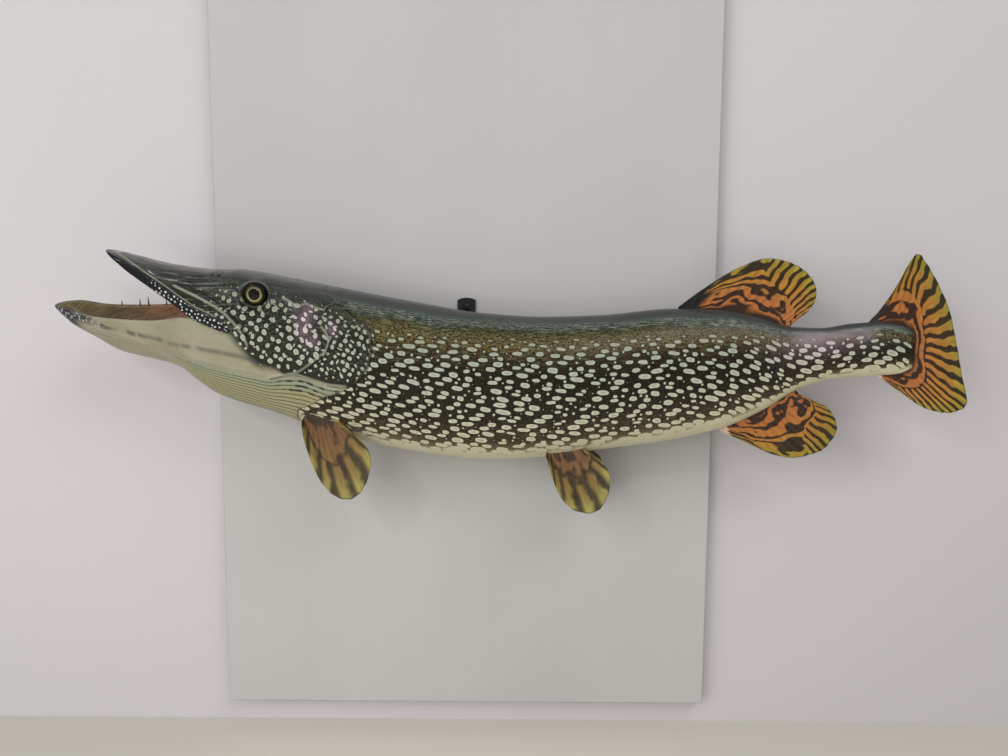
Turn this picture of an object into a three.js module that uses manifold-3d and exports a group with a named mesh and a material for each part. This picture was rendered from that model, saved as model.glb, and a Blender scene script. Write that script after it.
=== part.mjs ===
// A mounted northern pike on its white wall board, life size, in millimetres.
//
// +Z is up, +X runs from the snout to the tail, and +Y goes into the wall. The origin is the
// middle of the board's back face. The fish is first made straight and upright on its own
// middle plane (y = 0, left flank towards -Y), cut into its parts there, and then posed:
// moved off the board, curled a little towards the room, with its head and jaw rolled.

import * as THREE from 'three';
import { mergeVertices } from 'three/addons/utils/BufferGeometryUtils.js';
import Module from 'manifold-3d';

const wasm = await Module();
wasm.setup();

// ---------------------------------------------------------------- driving dimensions

const GAP = 0.3;                      // clearance between parts that touch

const BOARD_WIDTH = 600;
const BOARD_HEIGHT = 900;
const BOARD_THICKNESS = 18;
const BOARD_CHAMFER = 1.5;

const FISH_STAND_OFF = 80;            // middle plane of the fish, in front of the wall
const CURL_DEPTH = 14;                // how far head and tail come forward ...
const CURL_REACH = 500;               // ... at this distance from the middle

const HEAD_ROLL = THREE.MathUtils.degToRad(7);
const JAW_ROLL = THREE.MathUtils.degToRad(12);
const ROLL_AXIS_HEIGHT = -5;
const HEAD_ROLL_SPAN = [-94, 50];     // fully rolled before the first x, level after the second
const JAW_ROLL_SPAN = [-335, -286];

const SNOUT_X = -384;
const CHIN_X = -446;
const MOUTH_CORNER_X = -286;
const GILL_X = -92;                   // the head ends and the trunk begins
const TRUNK_CUTS = [30, 185, 350];    // front, middle and rear of the trunk, then the tail stalk
const TAIL_END_X = 497;               // the last scales, inside the tail fin

// Outlines along the fish, each as [x, value] pairs.
const BACK_LINE = [[-384, 113], [-354, 105], [-313, 95], [-269, 90], [-245, 90], [-225, 87.5],
  [-160, 75], [-107, 65], [-48, 54.5], [20, 43.8], [87, 39.7], [154, 41.8], [237, 49.5], [290, 48],
  [330, 40], [365, 30], [397, 29], [430, 34], [460, 36], [485, 33], [497, 28]];
const BELLY_LINE = [[-446, 49], [-434, 34], [-404, 13], [-382, -2], [-361, -8], [-317, -21], [-296, -35],
  [-274, -50], [-207, -72], [-140, -95], [-94, -108.5], [-26, -118.6], [30, -122.4],
  [88, -119.6], [156, -110], [224, -100.4], [291, -85], [335, -65], [378, -38.4],
  [421, -26.7], [455, -24.4], [485, -22], [497, -17]];
const WIDEST_LINE = [[-286, 40.7], [-240, 22], [-180, 0], [-107, -12], [0, -30], [120, -32],
  [237, -18], [330, -8], [400, 0], [497, 6]];
const HALF_WIDTH = [[-286, 34], [-245, 40], [-200, 46], [-150, 52], [-107, 54], [0, 54],
  [100, 52], [180, 47], [240, 40], [300, 31], [350, 23], [400, 16.5], [440, 13], [475, 9],
  [497, 5]];
const BACK_SQUARENESS = [[-384, 2.4], [-225, 3], [-107, 2.5], [100, 2.3], [300, 2.1], [497, 2]];
const BELLY_SQUARENESS = [[-446, 2], [-107, 2.1], [100, 2.2], [300, 2.1], [497, 2]];

// Edges and widths of the open jaws.
const UPPER_RIM = [[-384, 111], [-372, 103], [-357, 90.5], [-334, 75], [-313, 60.5], [-286, 40.7]];
const LOWER_RIM = [[-446, 51], [-428, 50], [-400, 44.5], [-384, 43], [-350, 42], [-310, 42.5],
  [-286, 40.7]];
const UPPER_JAW_HALF_WIDTH = [[-384, 15], [-366, 18], [-334, 25], [-286, 34]];
const LOWER_JAW_HALF_WIDTH = [[-446, 14], [-423, 18], [-380, 24], [-335, 29], [-286, 34]];
const SNOUT_ROUNDING = 16;            // length over which each jaw's tip rounds off
const CHIN_ROUNDING = 24;
const LIP = 4;
const PALATE_ARCH = 11;
const ROOF_THICKNESS = 5;
const MOUTH_DEPTH = 26;
const JAW_WALL = 6;
const GULLET_END_X = -205;
const GULLET_CLOSING = 0.75;          // share of its size that the gullet loses on its way back
const GULLET_SLOPE = 0.3;             // how far it falls for each millimetre of its length

// The throat lies below this line, under the cheek and the gill cover.
const THROAT_LINE = [[MOUTH_CORNER_X, -13], [-185, -31], [GILL_X, -45]];

const GILL_COVER_OUTLINE = [[-144, 46], [-138, 24], [-143, 3], [-158, -11], [-178, -16],
  [-181, -23], [-156, -27], [-124, -31], [-106, -18], [-97, 2], [-98, 27], [-110, 46], [-128, 57]];
const GILL_COVER_RISE = 1.5;
const GILL_COVER_DEPTH = 5;
const GILL_SLIT = 0.8;                // the opening round a gill cover
const GILL_COVER_SPAN = [-230, -50];  // a little more than the cover's own length
const GILL_COVER_INNER = 12;          // no cover reaches nearer to the middle plane

const EYE_RADIUS = 12;
const EYE_X = -218.5;
const EYE_HEIGHT = 67;
const EYE_SPREAD = 26.5;              // centre of each eyeball from the middle plane

const TONGUE_SPAN = [-395, -300];
const TONGUE_HALF_WIDTH = 9;
const TONGUE_HEIGHT = 5;
const TONGUE_CLEARANCE = 2.5;         // between the tongue and the floor of the mouth
const TONGUE_TIP_LIFT = 9;
const TONGUE_TIP_WIDTH = 0.02;        // square of the share of its width left at the very tip
const TONGUE_TAPER = 3;               // the taper takes one part in this many of the length

const FANG_RADIUS = 1.5;
const FANG_ROOT = 3;                  // length of a fang inside the jaw
const FANG_SINK = 4;                  // how far down the near row stands inside the lip
const FANGS = [[-385, 7], [-366, 9], [-357, 12], [-338, 7], [-320, 6]];   // [x, height]

// Fins: the line that each fan of rays starts from, and the edge that it ends at.
const DORSAL_ROOT = [[243, 44], [290, 44], [340, 32], [362, 26]];
const DORSAL_EDGE = [[240, 51], [264, 69], [296, 90], [328, 104], [350, 104], [372, 96],
  [388, 80], [391, 61], [381, 45], [366, 35]];
const ANAL_ROOT = [[290, -80], [340, -56], [372, -38]];
const ANAL_EDGE = [[290, -88], [325, -103], [350, -114], [374, -118], [396, -113], [411, -104],
  [421, -83], [412, -63], [395, -53], [377, -49]];
const TAIL_ROOT = [[448, 33], [484, 27], [490, 7], [484, -16], [458, -19]];
const TAIL_EDGE = [[453, 43], [472, 73], [491, 109], [505, 97], [526, 60], [538, 22], [546, -14],
  [555, -51], [544, -62], [528, -63], [507, -57], [485, -42], [461, -26]];
const PECTORAL_ROOT = [[-171, -64], [-153, -64], [-137, -66]];
const PECTORAL_EDGE = [[-173, -70], [-171, -93], [-159, -131], [-143, -154], [-122, -159],
  [-106, -142], [-99, -110], [-112, -87], [-132, -74]];
const PELVIC_ROOT = [[96, -104], [114, -102], [132, -99]];
const PELVIC_EDGE = [[93, -112], [101, -138], [110, -159], [127, -174], [149, -175], [162, -156],
  [163, -131], [150, -115], [136, -108]];
const FIN_ROOT_THICKNESS = 5;
const FIN_EDGE_THICKNESS = 1;
const TAIL_BOW = -8;                  // how far the tail fin's edge bows towards the room
const PECTORAL_START = -34;           // place across the fish of each hanging fin's root ...
const PELVIC_START = 20;
const PAIRED_SPLAY = 12;              // ... and how far out the edge stands from it
const FOLD_ANGLE = THREE.MathUtils.degToRad(85);
const FOLD_CLEARANCE = 1;             // between the folded fin's root and the far flank ...
const FOLD_SPLAY = 2;                 // ... and how much more at its edge

const HANGER_WIDTH = 21.4;
const HANGER_CENTRE_X = 1.1;
const HANGER_TOP = 57.9;
const HANGER_CROWN = 2.8;
const HANGER_BOTTOM = -40;
const HANGER_THICKNESS = 3;
const HANGER_ARM_HEIGHT = 12;
const HANGER_ARM_REACH = 28;          // from the board into the far flank
const SCREW_RADIUS = 4;
const SCREW_HEIGHT = 2.4;
const SCREW_HEIGHTS = [50, -28];
const SCREW_CROWN = 0.6;              // radius of a screw head's flat top, as a share of the whole

// How finely the curved surfaces are cut into facets.
const BODY_POINTS = 28;               // round the body
const BODY_STEPS = 36;                // along it
const JAW_OUTSIDE_STEPS = 14;         // over a jaw's outside, from rim to rim
const JAW_INSIDE_STEPS = 8;
const JAW_STEPS = 8;                  // along a jaw, behind its rounded tip
const JAW_TIP_PARTS = [0.02, 0.08, 0.22, 0.5];
const GULLET_POINTS = 14;
const GULLET_STEPS = 4;
const THROAT_STEPS = 8;
const GILL_COVER_POINTS = 26;
const EYE_SEGMENTS = [14, 8];
const TONGUE_POINTS = 12;
const TONGUE_STEPS = 8;
const FANG_SIDES = 6;
const FIN_RAYS = 12;
const FIN_STEPS = 3;
const SCREW_SIDES = 12;

// Reach of the cutting blocks, well past the fish on every side.
const FAR_ACROSS = 100;
const FAR_UP = 200;

// ---------------------------------------------------------------- curves and lofts

// A smooth curve through [x, value] pairs that never swings past its neighbours.
function smoothCurve(pairs) {
  const last = pairs.length - 1;
  const slope = (i) => (pairs[i + 1][1] - pairs[i][1]) / (pairs[i + 1][0] - pairs[i][0]);
  const tangent = (i) => {
    if (i === 0) return slope(0);
    if (i === last) return slope(last - 1);
    const before = slope(i - 1);
    const after = slope(i);
    return before * after <= 0 ? 0 : (2 * before * after) / (before + after);
  };
  return (x) => {
    if (x <= pairs[0][0]) return pairs[0][1];
    if (x >= pairs[last][0]) return pairs[last][1];
    const i = pairs.findIndex((pair) => pair[0] > x) - 1;
    const span = pairs[i + 1][0] - pairs[i][0];
    const t = (x - pairs[i][0]) / span;
    const start = pairs[i][1] * (1 + 2 * t) * (1 - t) ** 2 + tangent(i) * span * t * (1 - t) ** 2;
    const end = pairs[i + 1][1] * t * t * (3 - 2 * t) + tangent(i + 1) * span * t * t * (t - 1);
    return start + end;
  };
}

const backLine = smoothCurve(BACK_LINE);
const bellyLine = smoothCurve(BELLY_LINE);
const widestLine = smoothCurve(WIDEST_LINE);
const halfWidth = smoothCurve(HALF_WIDTH);
const backSquareness = smoothCurve(BACK_SQUARENESS);
const bellySquareness = smoothCurve(BELLY_SQUARENESS);
const upperRim = smoothCurve(UPPER_RIM);
const lowerRim = smoothCurve(LOWER_RIM);
const upperJawHalfWidth = smoothCurve(UPPER_JAW_HALF_WIDTH);
const lowerJawHalfWidth = smoothCurve(LOWER_JAW_HALF_WIDTH);

const quarter = Math.PI / 2;
const bulge = (value, squareness) => Math.sign(value) * Math.abs(value) ** (2 / squareness);

// The point of an oval at a turn from the top of the back (0) over the left flank (a quarter).
function ovalPoint(x, turn, width, middle, rise, squareness) {
  const side = -width * bulge(Math.sin(turn), squareness);
  return new THREE.Vector3(x, side, middle + rise * bulge(Math.cos(turn), squareness));
}

function bodyRing(x, count, grow) {
  const width = halfWidth(x) + grow;
  const middle = widestLine(x);
  const up = backLine(x) - middle + grow;
  const down = middle - bellyLine(x) + grow;
  return Array.from({ length: count }, (_, i) => {
    const turn = (i / count) * 4 * quarter;
    const upper = Math.cos(turn) >= 0;
    const squareness = upper ? backSquareness(x) : bellySquareness(x);
    return ovalPoint(x, turn, width, middle, upper ? up : down, squareness);
  });
}

// A closed solid through rings that all have the same number of points, snout to tail.
function loft(rings) {
  const count = rings[0].length;
  const points = rings.flat();
  const faces = [];
  for (let ring = 0; ring < rings.length - 1; ring += 1) {
    for (let i = 0; i < count; i += 1) {
      const a = ring * count + i;
      const b = ring * count + ((i + 1) % count);
      faces.push(a, b, a + count, b, b + count, a + count);
    }
  }
  for (const [ring, forward] of [[0, false], [rings.length - 1, true]]) {
    const centre = new THREE.Vector3();
    rings[ring].forEach((point) => centre.addScaledVector(point, 1 / count));
    points.push(centre);
    for (let i = 0; i < count; i += 1) {
      const a = ring * count + i;
      const b = ring * count + ((i + 1) % count);
      faces.push(points.length - 1, forward ? a : b, forward ? b : a);
    }
  }
  return solidFrom(points, faces);
}

// Six times the volume inside the faces, negative where they point inwards.
function signedVolume(points, faces) {
  let volume = 0;
  for (let i = 0; i < faces.length; i += 3) {
    const [a, b, c] = [points[faces[i]], points[faces[i + 1]], points[faces[i + 2]]];
    volume += a.dot(new THREE.Vector3().crossVectors(b, c));
  }
  return volume;
}

function solidFrom(points, faces) {
  const geometry = new THREE.BufferGeometry().setFromPoints(points);
  geometry.setIndex(signedVolume(points, faces) > 0 ? faces : faces.toReversed());
  return toManifold(geometry);
}

function toManifold(geometry) {
  const bare = geometry.clone();
  bare.deleteAttribute('normal');
  bare.deleteAttribute('uv');
  const merged = mergeVertices(bare, 1e-4);
  const vertProperties = new Float32Array(merged.attributes.position.array);
  const triVerts = new Uint32Array(merged.index.array);
  return new wasm.Manifold(new wasm.Mesh({ numProp: 3, vertProperties, triVerts }));
}

function toGeometry(solid) {
  const mesh = solid.getMesh();
  const geometry = new THREE.BufferGeometry();
  geometry.setAttribute('position', new THREE.BufferAttribute(mesh.vertProperties, 3));
  geometry.setIndex(new THREE.BufferAttribute(mesh.triVerts, 1));
  return geometry;
}

const spread = (from, to, steps) =>
  Array.from({ length: steps + 1 }, (_, i) => from + ((to - from) * i) / steps);

// ---------------------------------------------------------------- the pose

// 1 before the first x of the span, 0 after the second, smooth between.
const fadeOut = (x, [first, second]) => 1 - THREE.MathUtils.smoothstep(x, first, second);

function roll(point, angle, axisHeight) {
  const rise = point.z - axisHeight;
  const side = point.y;
  point.y = side * Math.cos(angle) - rise * Math.sin(angle);
  point.z = axisHeight + rise * Math.cos(angle) + side * Math.sin(angle);
}

function posed(geometry, isJaw) {
  const place = geometry.attributes.position;
  const point = new THREE.Vector3();
  for (let i = 0; i < place.count; i += 1) {
    point.fromBufferAttribute(place, i);
    if (isJaw) roll(point, JAW_ROLL * fadeOut(point.x, JAW_ROLL_SPAN), lowerRim(point.x));
    roll(point, HEAD_ROLL * fadeOut(point.x, HEAD_ROLL_SPAN), ROLL_AXIS_HEIGHT);
    point.y -= FISH_STAND_OFF + CURL_DEPTH * (point.x / CURL_REACH) ** 2;
    place.setXYZ(i, point.x, point.y, point.z);
  }
  return geometry;
}

// ---------------------------------------------------------------- body and head

const BODY_STATIONS = spread(MOUTH_CORNER_X, TAIL_END_X, BODY_STEPS);

function bodyLoft(stations, grow) {
  return loft(stations.map((x) => bodyRing(x, BODY_POINTS, grow)));
}

// The stretch of the body from one x to another.
function bodySlice(from, to) {
  const corners = [[from, -FAR_UP], [to, -FAR_UP], [to, FAR_UP], [from, FAR_UP]];
  const slab = outlinePlate(corners, -FAR_ACROSS, FAR_ACROSS);
  return bodyLoft(BODY_STATIONS, 0).intersect(slab);
}

// A plate through the whole fish with the given [x, z] outline, from one y to another.
function outlinePlate(outline, yFrom, yTo) {
  const shape = new THREE.Shape(outline.map(([x, z]) => new THREE.Vector2(x, z)));
  const plate = new THREE.ExtrudeGeometry(shape, { depth: yTo - yFrom, bevelEnabled: false });
  plate.rotateX(quarter);
  plate.translate(0, yTo, 0);
  return toManifold(plate);
}

function smoothOutline(outline, pointsInAll) {
  const corners = outline.map(([x, z]) => new THREE.Vector2(x, z));
  const curve = new THREE.SplineCurve([...corners, corners[0]]);
  return curve.getPoints(pointsInAll).slice(0, -1).map((point) => [point.x, point.y]);
}

// The outline pushed outwards along its own normals.
function grownOutline(outline, grow) {
  const corners = outline.map(([x, z]) => new THREE.Vector2(x, z));
  const outwards = THREE.ShapeUtils.isClockWise(corners) ? -1 : 1;
  return corners.map((corner, i) => {
    const along = corners[(i + 1) % corners.length].clone().sub(corners.at(i - 1)).normalize();
    return [corner.x + outwards * grow * along.y, corner.y - outwards * grow * along.x];
  });
}

// How full a jaw is near its tip, so that the tip is round from above and from the side.
function tipFullness(x, tipX, rounding) {
  const inset = Math.max(0, 1 - (x - tipX) / rounding);
  return Math.sqrt(1 - inset * inset);
}

function upperJawRing(x) {
  const fullness = tipFullness(x, SNOUT_X, SNOUT_ROUNDING);
  const width = upperJawHalfWidth(x) * fullness;
  const rim = upperRim(x);
  const height = Math.max(backLine(x) - rim, 0) * fullness;
  const lip = Math.min(LIP, width / 3);
  const arch = Math.min(PALATE_ARCH, Math.max(height - ROOF_THICKNESS, height / 4));
  const outer = spread(-quarter, quarter, JAW_OUTSIDE_STEPS)
    .map((turn) => ovalPoint(x, turn, width, rim, height, backSquareness(x)));
  const inner = spread(quarter, -quarter, JAW_INSIDE_STEPS)
    .map((turn) => ovalPoint(x, turn, width - lip, rim + lip / 4, arch, 2));
  return [...outer, ...inner];
}

function lowerJawRing(x) {
  const fullness = tipFullness(x, CHIN_X, CHIN_ROUNDING);
  const width = lowerJawHalfWidth(x) * fullness;
  const rim = lowerRim(x);
  const depth = (rim - bellyLine(x)) * fullness;
  const lip = Math.min(LIP, width / 3);
  const hollow = Math.min(MOUTH_DEPTH, Math.max(depth - JAW_WALL, depth / 4));
  const outer = spread(quarter, 3 * quarter, JAW_OUTSIDE_STEPS)
    .map((turn) => ovalPoint(x, turn, width, rim, depth, bellySquareness(x)));
  const inner = spread(3 * quarter, quarter, JAW_INSIDE_STEPS)
    .map((turn) => ovalPoint(x, turn, width - lip, rim - lip / 4, hollow, 2));
  return [...outer, ...inner];
}

function jawStations(tipX, rounding) {
  const roundPart = JAW_TIP_PARTS.map((part) => tipX + part * rounding);
  return [...roundPart, ...spread(tipX + rounding, MOUTH_CORNER_X, JAW_STEPS)];
}

// The hollow of the mouth behind its corners, closing towards the gullet.
function gulletLoft() {
  const rings = spread(MOUTH_CORNER_X - 1, GULLET_END_X, GULLET_STEPS).map((x) => {
    const way = THREE.MathUtils.smoothstep(x, MOUTH_CORNER_X, GULLET_END_X);
    const closing = 1 - GULLET_CLOSING * way;
    const width = (upperJawHalfWidth(MOUTH_CORNER_X) - LIP) * closing;
    const middle = lowerRim(MOUTH_CORNER_X) - (x - MOUTH_CORNER_X) * GULLET_SLOPE;
    return spread(0, 4 * quarter, GULLET_POINTS).slice(0, -1).map((turn) => {
      const rise = Math.cos(turn) >= 0 ? PALATE_ARCH : MOUTH_DEPTH;
      return ovalPoint(x, turn, width, middle, rise * closing, 2);
    });
  });
  return loft(rings);
}

// Everything below the throat line, lowered by a gap for the part under it.
function throatBlock(lowered) {
  const throatLine = smoothCurve(THROAT_LINE);
  const ends = [MOUTH_CORNER_X - 1, GILL_X + 1];
  const top = spread(...ends, THROAT_STEPS).map((x) => [x, throatLine(x) - lowered]);
  const outline = [[ends[0], -FAR_UP], ...top, [ends[1], -FAR_UP]];
  return outlinePlate(outline, -FAR_ACROSS, FAR_ACROSS);
}

function gillCoverBlock(side, grow) {
  const outline = grownOutline(smoothOutline(GILL_COVER_OUTLINE, GILL_COVER_POINTS), grow);
  const reach = side === 'left' ? [-FAR_ACROSS, -GILL_COVER_INNER] : [GILL_COVER_INNER, FAR_ACROSS];
  const plate = outlinePlate(outline, ...reach);
  const [front, back] = GILL_COVER_SPAN;
  const stations = BODY_STATIONS.filter((x) => x > front && x < back);
  const outer = bodyLoft(stations, GILL_COVER_RISE + grow);
  const inner = bodyLoft(stations, GILL_COVER_RISE - GILL_COVER_DEPTH - grow);
  return outer.subtract(inner).intersect(plate);
}

function eyeball(side, grow) {
  const ball = new THREE.SphereGeometry(EYE_RADIUS + grow, ...EYE_SEGMENTS);
  ball.translate(EYE_X, side === 'left' ? -EYE_SPREAD : EYE_SPREAD, EYE_HEIGHT);
  return toManifold(ball);
}

// A fang rooted in the lip on the far side, or lower down inside the lip on the near side.
function fang(x, height, side) {
  const length = height + FANG_ROOT;
  const cone = new THREE.ConeGeometry(FANG_RADIUS, length, FANG_SIDES);
  const inboard = side < 0 ? LIP : LIP / 2;
  const sunk = side < 0 ? FANG_SINK : 0;
  const centre = lowerRim(x) - FANG_ROOT - sunk + length / 2;
  cone.rotateX(quarter);
  cone.translate(x, side * (lowerJawHalfWidth(x) - inboard), centre);
  return toManifold(cone);
}

function tongueSolid() {
  const [front, back] = TONGUE_SPAN;
  const rings = spread(front, back, TONGUE_STEPS).map((x) => {
    const along = (x - front) / (back - front);
    const width = TONGUE_HALF_WIDTH * Math.sqrt(Math.min(1, TONGUE_TIP_WIDTH + along * TONGUE_TAPER));
    const floor = lowerRim(x) - MOUTH_DEPTH + TONGUE_CLEARANCE;
    const middle = floor + TONGUE_HEIGHT + TONGUE_TIP_LIFT * (1 - along) ** 2;
    return spread(0, 4 * quarter, TONGUE_POINTS).slice(0, -1)
      .map((turn) => ovalPoint(x, turn, width, middle, TONGUE_HEIGHT, 2));
  });
  return loft(rings);
}

// ---------------------------------------------------------------- fins

const curveThrough = (pairs) => new THREE.SplineCurve(pairs.map(([x, z]) => new THREE.Vector2(x, z)));

// How far the flank stands from the middle plane at a height.
function flankAt(x, z) {
  const middle = widestLine(x);
  const reach = z > middle ? backLine(x) - middle : middle - bellyLine(x);
  const squareness = z > middle ? backSquareness(x) : bellySquareness(x);
  const part = Math.min(1, Math.abs(z - middle) / reach);
  return halfWidth(x) * (1 - part ** squareness) ** (1 / squareness);
}

// A fan of rays from a root line to an edge: a plate that thins from root to edge. The lean
// gives the place across the fish of a point at x and z that is some part out along its ray.
function finSolid({ root, edge, lean }) {
  const rootCurve = curveThrough(root);
  const edgeCurve = curveThrough(edge);
  const points = [];
  for (const face of [-1, 1]) {
    for (let ray = 0; ray <= FIN_RAYS; ray += 1) {
      const start = rootCurve.getPoint(ray / FIN_RAYS);
      const end = edgeCurve.getPoint(ray / FIN_RAYS);
      for (let step = 0; step <= FIN_STEPS; step += 1) {
        const out = step / FIN_STEPS;
        const [x, z] = start.clone().lerp(end, out);
        const thickness = THREE.MathUtils.lerp(FIN_ROOT_THICKNESS, FIN_EDGE_THICKNESS, out ** 0.5);
        points.push(new THREE.Vector3(x, lean(out, x, z) + (face * thickness) / 2, z));
      }
    }
  }
  const plate = solidFrom(points, plateFaces(FIN_RAYS, FIN_STEPS));
  return plate.subtract(bodyLoft(BODY_STATIONS, GAP)).subtract(gillCoverBlock('right', GAP));
}

// Faces of a plate whose two sides are grids of the same size, with walls round the border.
function plateFaces(rays, steps) {
  const perSide = (rays + 1) * (steps + 1);
  const at = (side, ray, step) => side * perSide + ray * (steps + 1) + step;
  const faces = [];
  const quad = (a, b, c, d) => faces.push(a, b, c, a, c, d);
  for (let ray = 0; ray < rays; ray += 1) {
    for (let step = 0; step < steps; step += 1) {
      quad(at(0, ray, step), at(0, ray + 1, step), at(0, ray + 1, step + 1), at(0, ray, step + 1));
      quad(at(1, ray, step), at(1, ray, step + 1), at(1, ray + 1, step + 1), at(1, ray + 1, step));
    }
    quad(at(1, ray, 0), at(1, ray + 1, 0), at(0, ray + 1, 0), at(0, ray, 0));
    quad(at(0, ray, steps), at(0, ray + 1, steps), at(1, ray + 1, steps), at(1, ray, steps));
  }
  for (let step = 0; step < steps; step += 1) {
    quad(at(0, 0, step), at(0, 0, step + 1), at(1, 0, step + 1), at(1, 0, step));
    quad(at(1, rays, step), at(1, rays, step + 1), at(0, rays, step + 1), at(0, rays, step));
  }
  return faces;
}

// An outline turned about a pivot, as a fin folded back on its root is.
function swung(pairs, [pivotX, pivotZ], angle) {
  const pivot = new THREE.Vector2(pivotX, pivotZ);
  return pairs.map(([x, z]) => new THREE.Vector2(x, z).rotateAround(pivot, angle).toArray());
}

// ---------------------------------------------------------------- board and hanger

function boardGeometry() {
  const width = BOARD_WIDTH - 2 * BOARD_CHAMFER;
  const height = BOARD_HEIGHT - 2 * BOARD_CHAMFER;
  const shape = new THREE.Shape([[-1, -1], [1, -1], [1, 1], [-1, 1]]
    .map(([x, z]) => new THREE.Vector2((x * width) / 2, (z * height) / 2)));
  const board = new THREE.ExtrudeGeometry(shape, {
    depth: BOARD_THICKNESS - 2 * BOARD_CHAMFER,
    bevelEnabled: true,
    bevelThickness: BOARD_CHAMFER,
    bevelSize: BOARD_CHAMFER,
    bevelSegments: 1,
  });
  board.rotateX(quarter);
  board.translate(0, -BOARD_CHAMFER, 0);
  return board;
}

// A steel plate on the board with a crowned top, and an arm out of it into the far flank.
function hangerSolid(grow) {
  const half = HANGER_WIDTH / 2 + grow;
  const shape = new THREE.Shape();
  shape.moveTo(HANGER_CENTRE_X - half, HANGER_BOTTOM - grow);
  shape.lineTo(HANGER_CENTRE_X + half, HANGER_BOTTOM - grow);
  shape.lineTo(HANGER_CENTRE_X + half, HANGER_TOP + grow);
  const crownTop = HANGER_TOP + grow + 2 * HANGER_CROWN;
  shape.quadraticCurveTo(HANGER_CENTRE_X, crownTop, HANGER_CENTRE_X - half, HANGER_TOP + grow);
  const plate = new THREE.ExtrudeGeometry(shape, { depth: HANGER_THICKNESS, bevelEnabled: false });
  plate.rotateX(quarter);
  plate.translate(0, -BOARD_THICKNESS - GAP, 0);
  const length = HANGER_ARM_REACH + grow;
  const arm = new THREE.BoxGeometry(2 * half, length, HANGER_THICKNESS + 2 * grow);
  arm.translate(HANGER_CENTRE_X, -BOARD_THICKNESS - GAP - length / 2, HANGER_ARM_HEIGHT);
  return toManifold(plate).add(toManifold(arm));
}

function screwGeometry(height) {
  const front = -BOARD_THICKNESS - 2 * GAP - HANGER_THICKNESS;
  const profile = [[0, 0], [SCREW_RADIUS, 0], [SCREW_RADIUS, SCREW_HEIGHT / 2],
    [SCREW_RADIUS * SCREW_CROWN, SCREW_HEIGHT], [0, SCREW_HEIGHT]];
  const corners = profile.map(([radius, rise]) => new THREE.Vector2(radius, rise));
  const screw = new THREE.LatheGeometry(corners, SCREW_SIDES);
  screw.rotateX(2 * quarter);
  screw.translate(HANGER_CENTRE_X, front, height);
  return screw;
}

// ---------------------------------------------------------------- the whole mount

const mount = new THREE.Group();

function addPart(name, geometry, colour, roughness, metalness = 0) {
  const material = new THREE.MeshStandardMaterial({ color: colour, roughness, metalness });
  const mesh = new THREE.Mesh(geometry, material);
  mesh.name = name;
  mount.add(mesh);
}

const SKIN_COLOUR = '#4b4a36';
const BACK_COLOUR = '#4a5048';
const BELLY_COLOUR = '#c9c7a8';
const FIN_COLOUR = '#b0702a';
const SIDES = ['left', 'right'];

addPart('board', boardGeometry(), '#d4d3d1', 0.7);
addPart('hanger', toGeometry(hangerSolid(0)), '#17181a', 0.45, 0.8);
SCREW_HEIGHTS.forEach((height, i) => {
  addPart(`hanger_screw_${i + 1}`, screwGeometry(height), '#2a2b2d', 0.4, 0.8);
});

const jawRings = (ringAt, tipX, rounding) => loft(jawStations(tipX, rounding).map(ringAt));
const upperJaw = jawRings(upperJawRing, SNOUT_X, SNOUT_ROUNDING);
const fangs = FANGS.flatMap(([x, height]) => [fang(x, height, 1), fang(x, height, -1)]);
const lowerJaw = fangs.reduce((jaw, tooth) => jaw.add(tooth),
  jawRings(lowerJawRing, CHIN_X, CHIN_ROUNDING));
addPart('upper_jaw', posed(toGeometry(upperJaw)), BACK_COLOUR, 0.3);
addPart('lower_jaw', posed(toGeometry(lowerJaw), true), BELLY_COLOUR, 0.3);
addPart('tongue', posed(toGeometry(tongueSolid()), true), '#8a6248', 0.4);

let wholeHead = bodySlice(MOUTH_CORNER_X + GAP, GILL_X).subtract(gulletLoft());
SIDES.forEach((side) => {
  wholeHead = wholeHead.subtract(gillCoverBlock(side, GILL_SLIT)).subtract(eyeball(side, GAP));
  addPart(`gill_cover_${side}`, posed(toGeometry(gillCoverBlock(side, 0))), SKIN_COLOUR, 0.25);
  addPart(`eye_${side}`, posed(toGeometry(eyeball(side, 0))), '#1a160c', 0.05);
});
addPart('head', posed(toGeometry(wholeHead.subtract(throatBlock(0)))), SKIN_COLOUR, 0.25);
addPart('throat', posed(toGeometry(wholeHead.intersect(throatBlock(GAP)))), BELLY_COLOUR, 0.3);

const trunkEnds = [GILL_X, ...TRUNK_CUTS, TAIL_END_X];
['trunk_front', 'trunk_middle', 'trunk_rear', 'tail_stalk'].forEach((name, i) => {
  const length = toManifold(posed(toGeometry(bodySlice(trunkEnds[i] + GAP, trunkEnds[i + 1]))));
  const clearOfHanger = length.subtract(hangerSolid(GAP));
  addPart(name, toGeometry(clearOfHanger), SKIN_COLOUR, 0.25);
});

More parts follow.
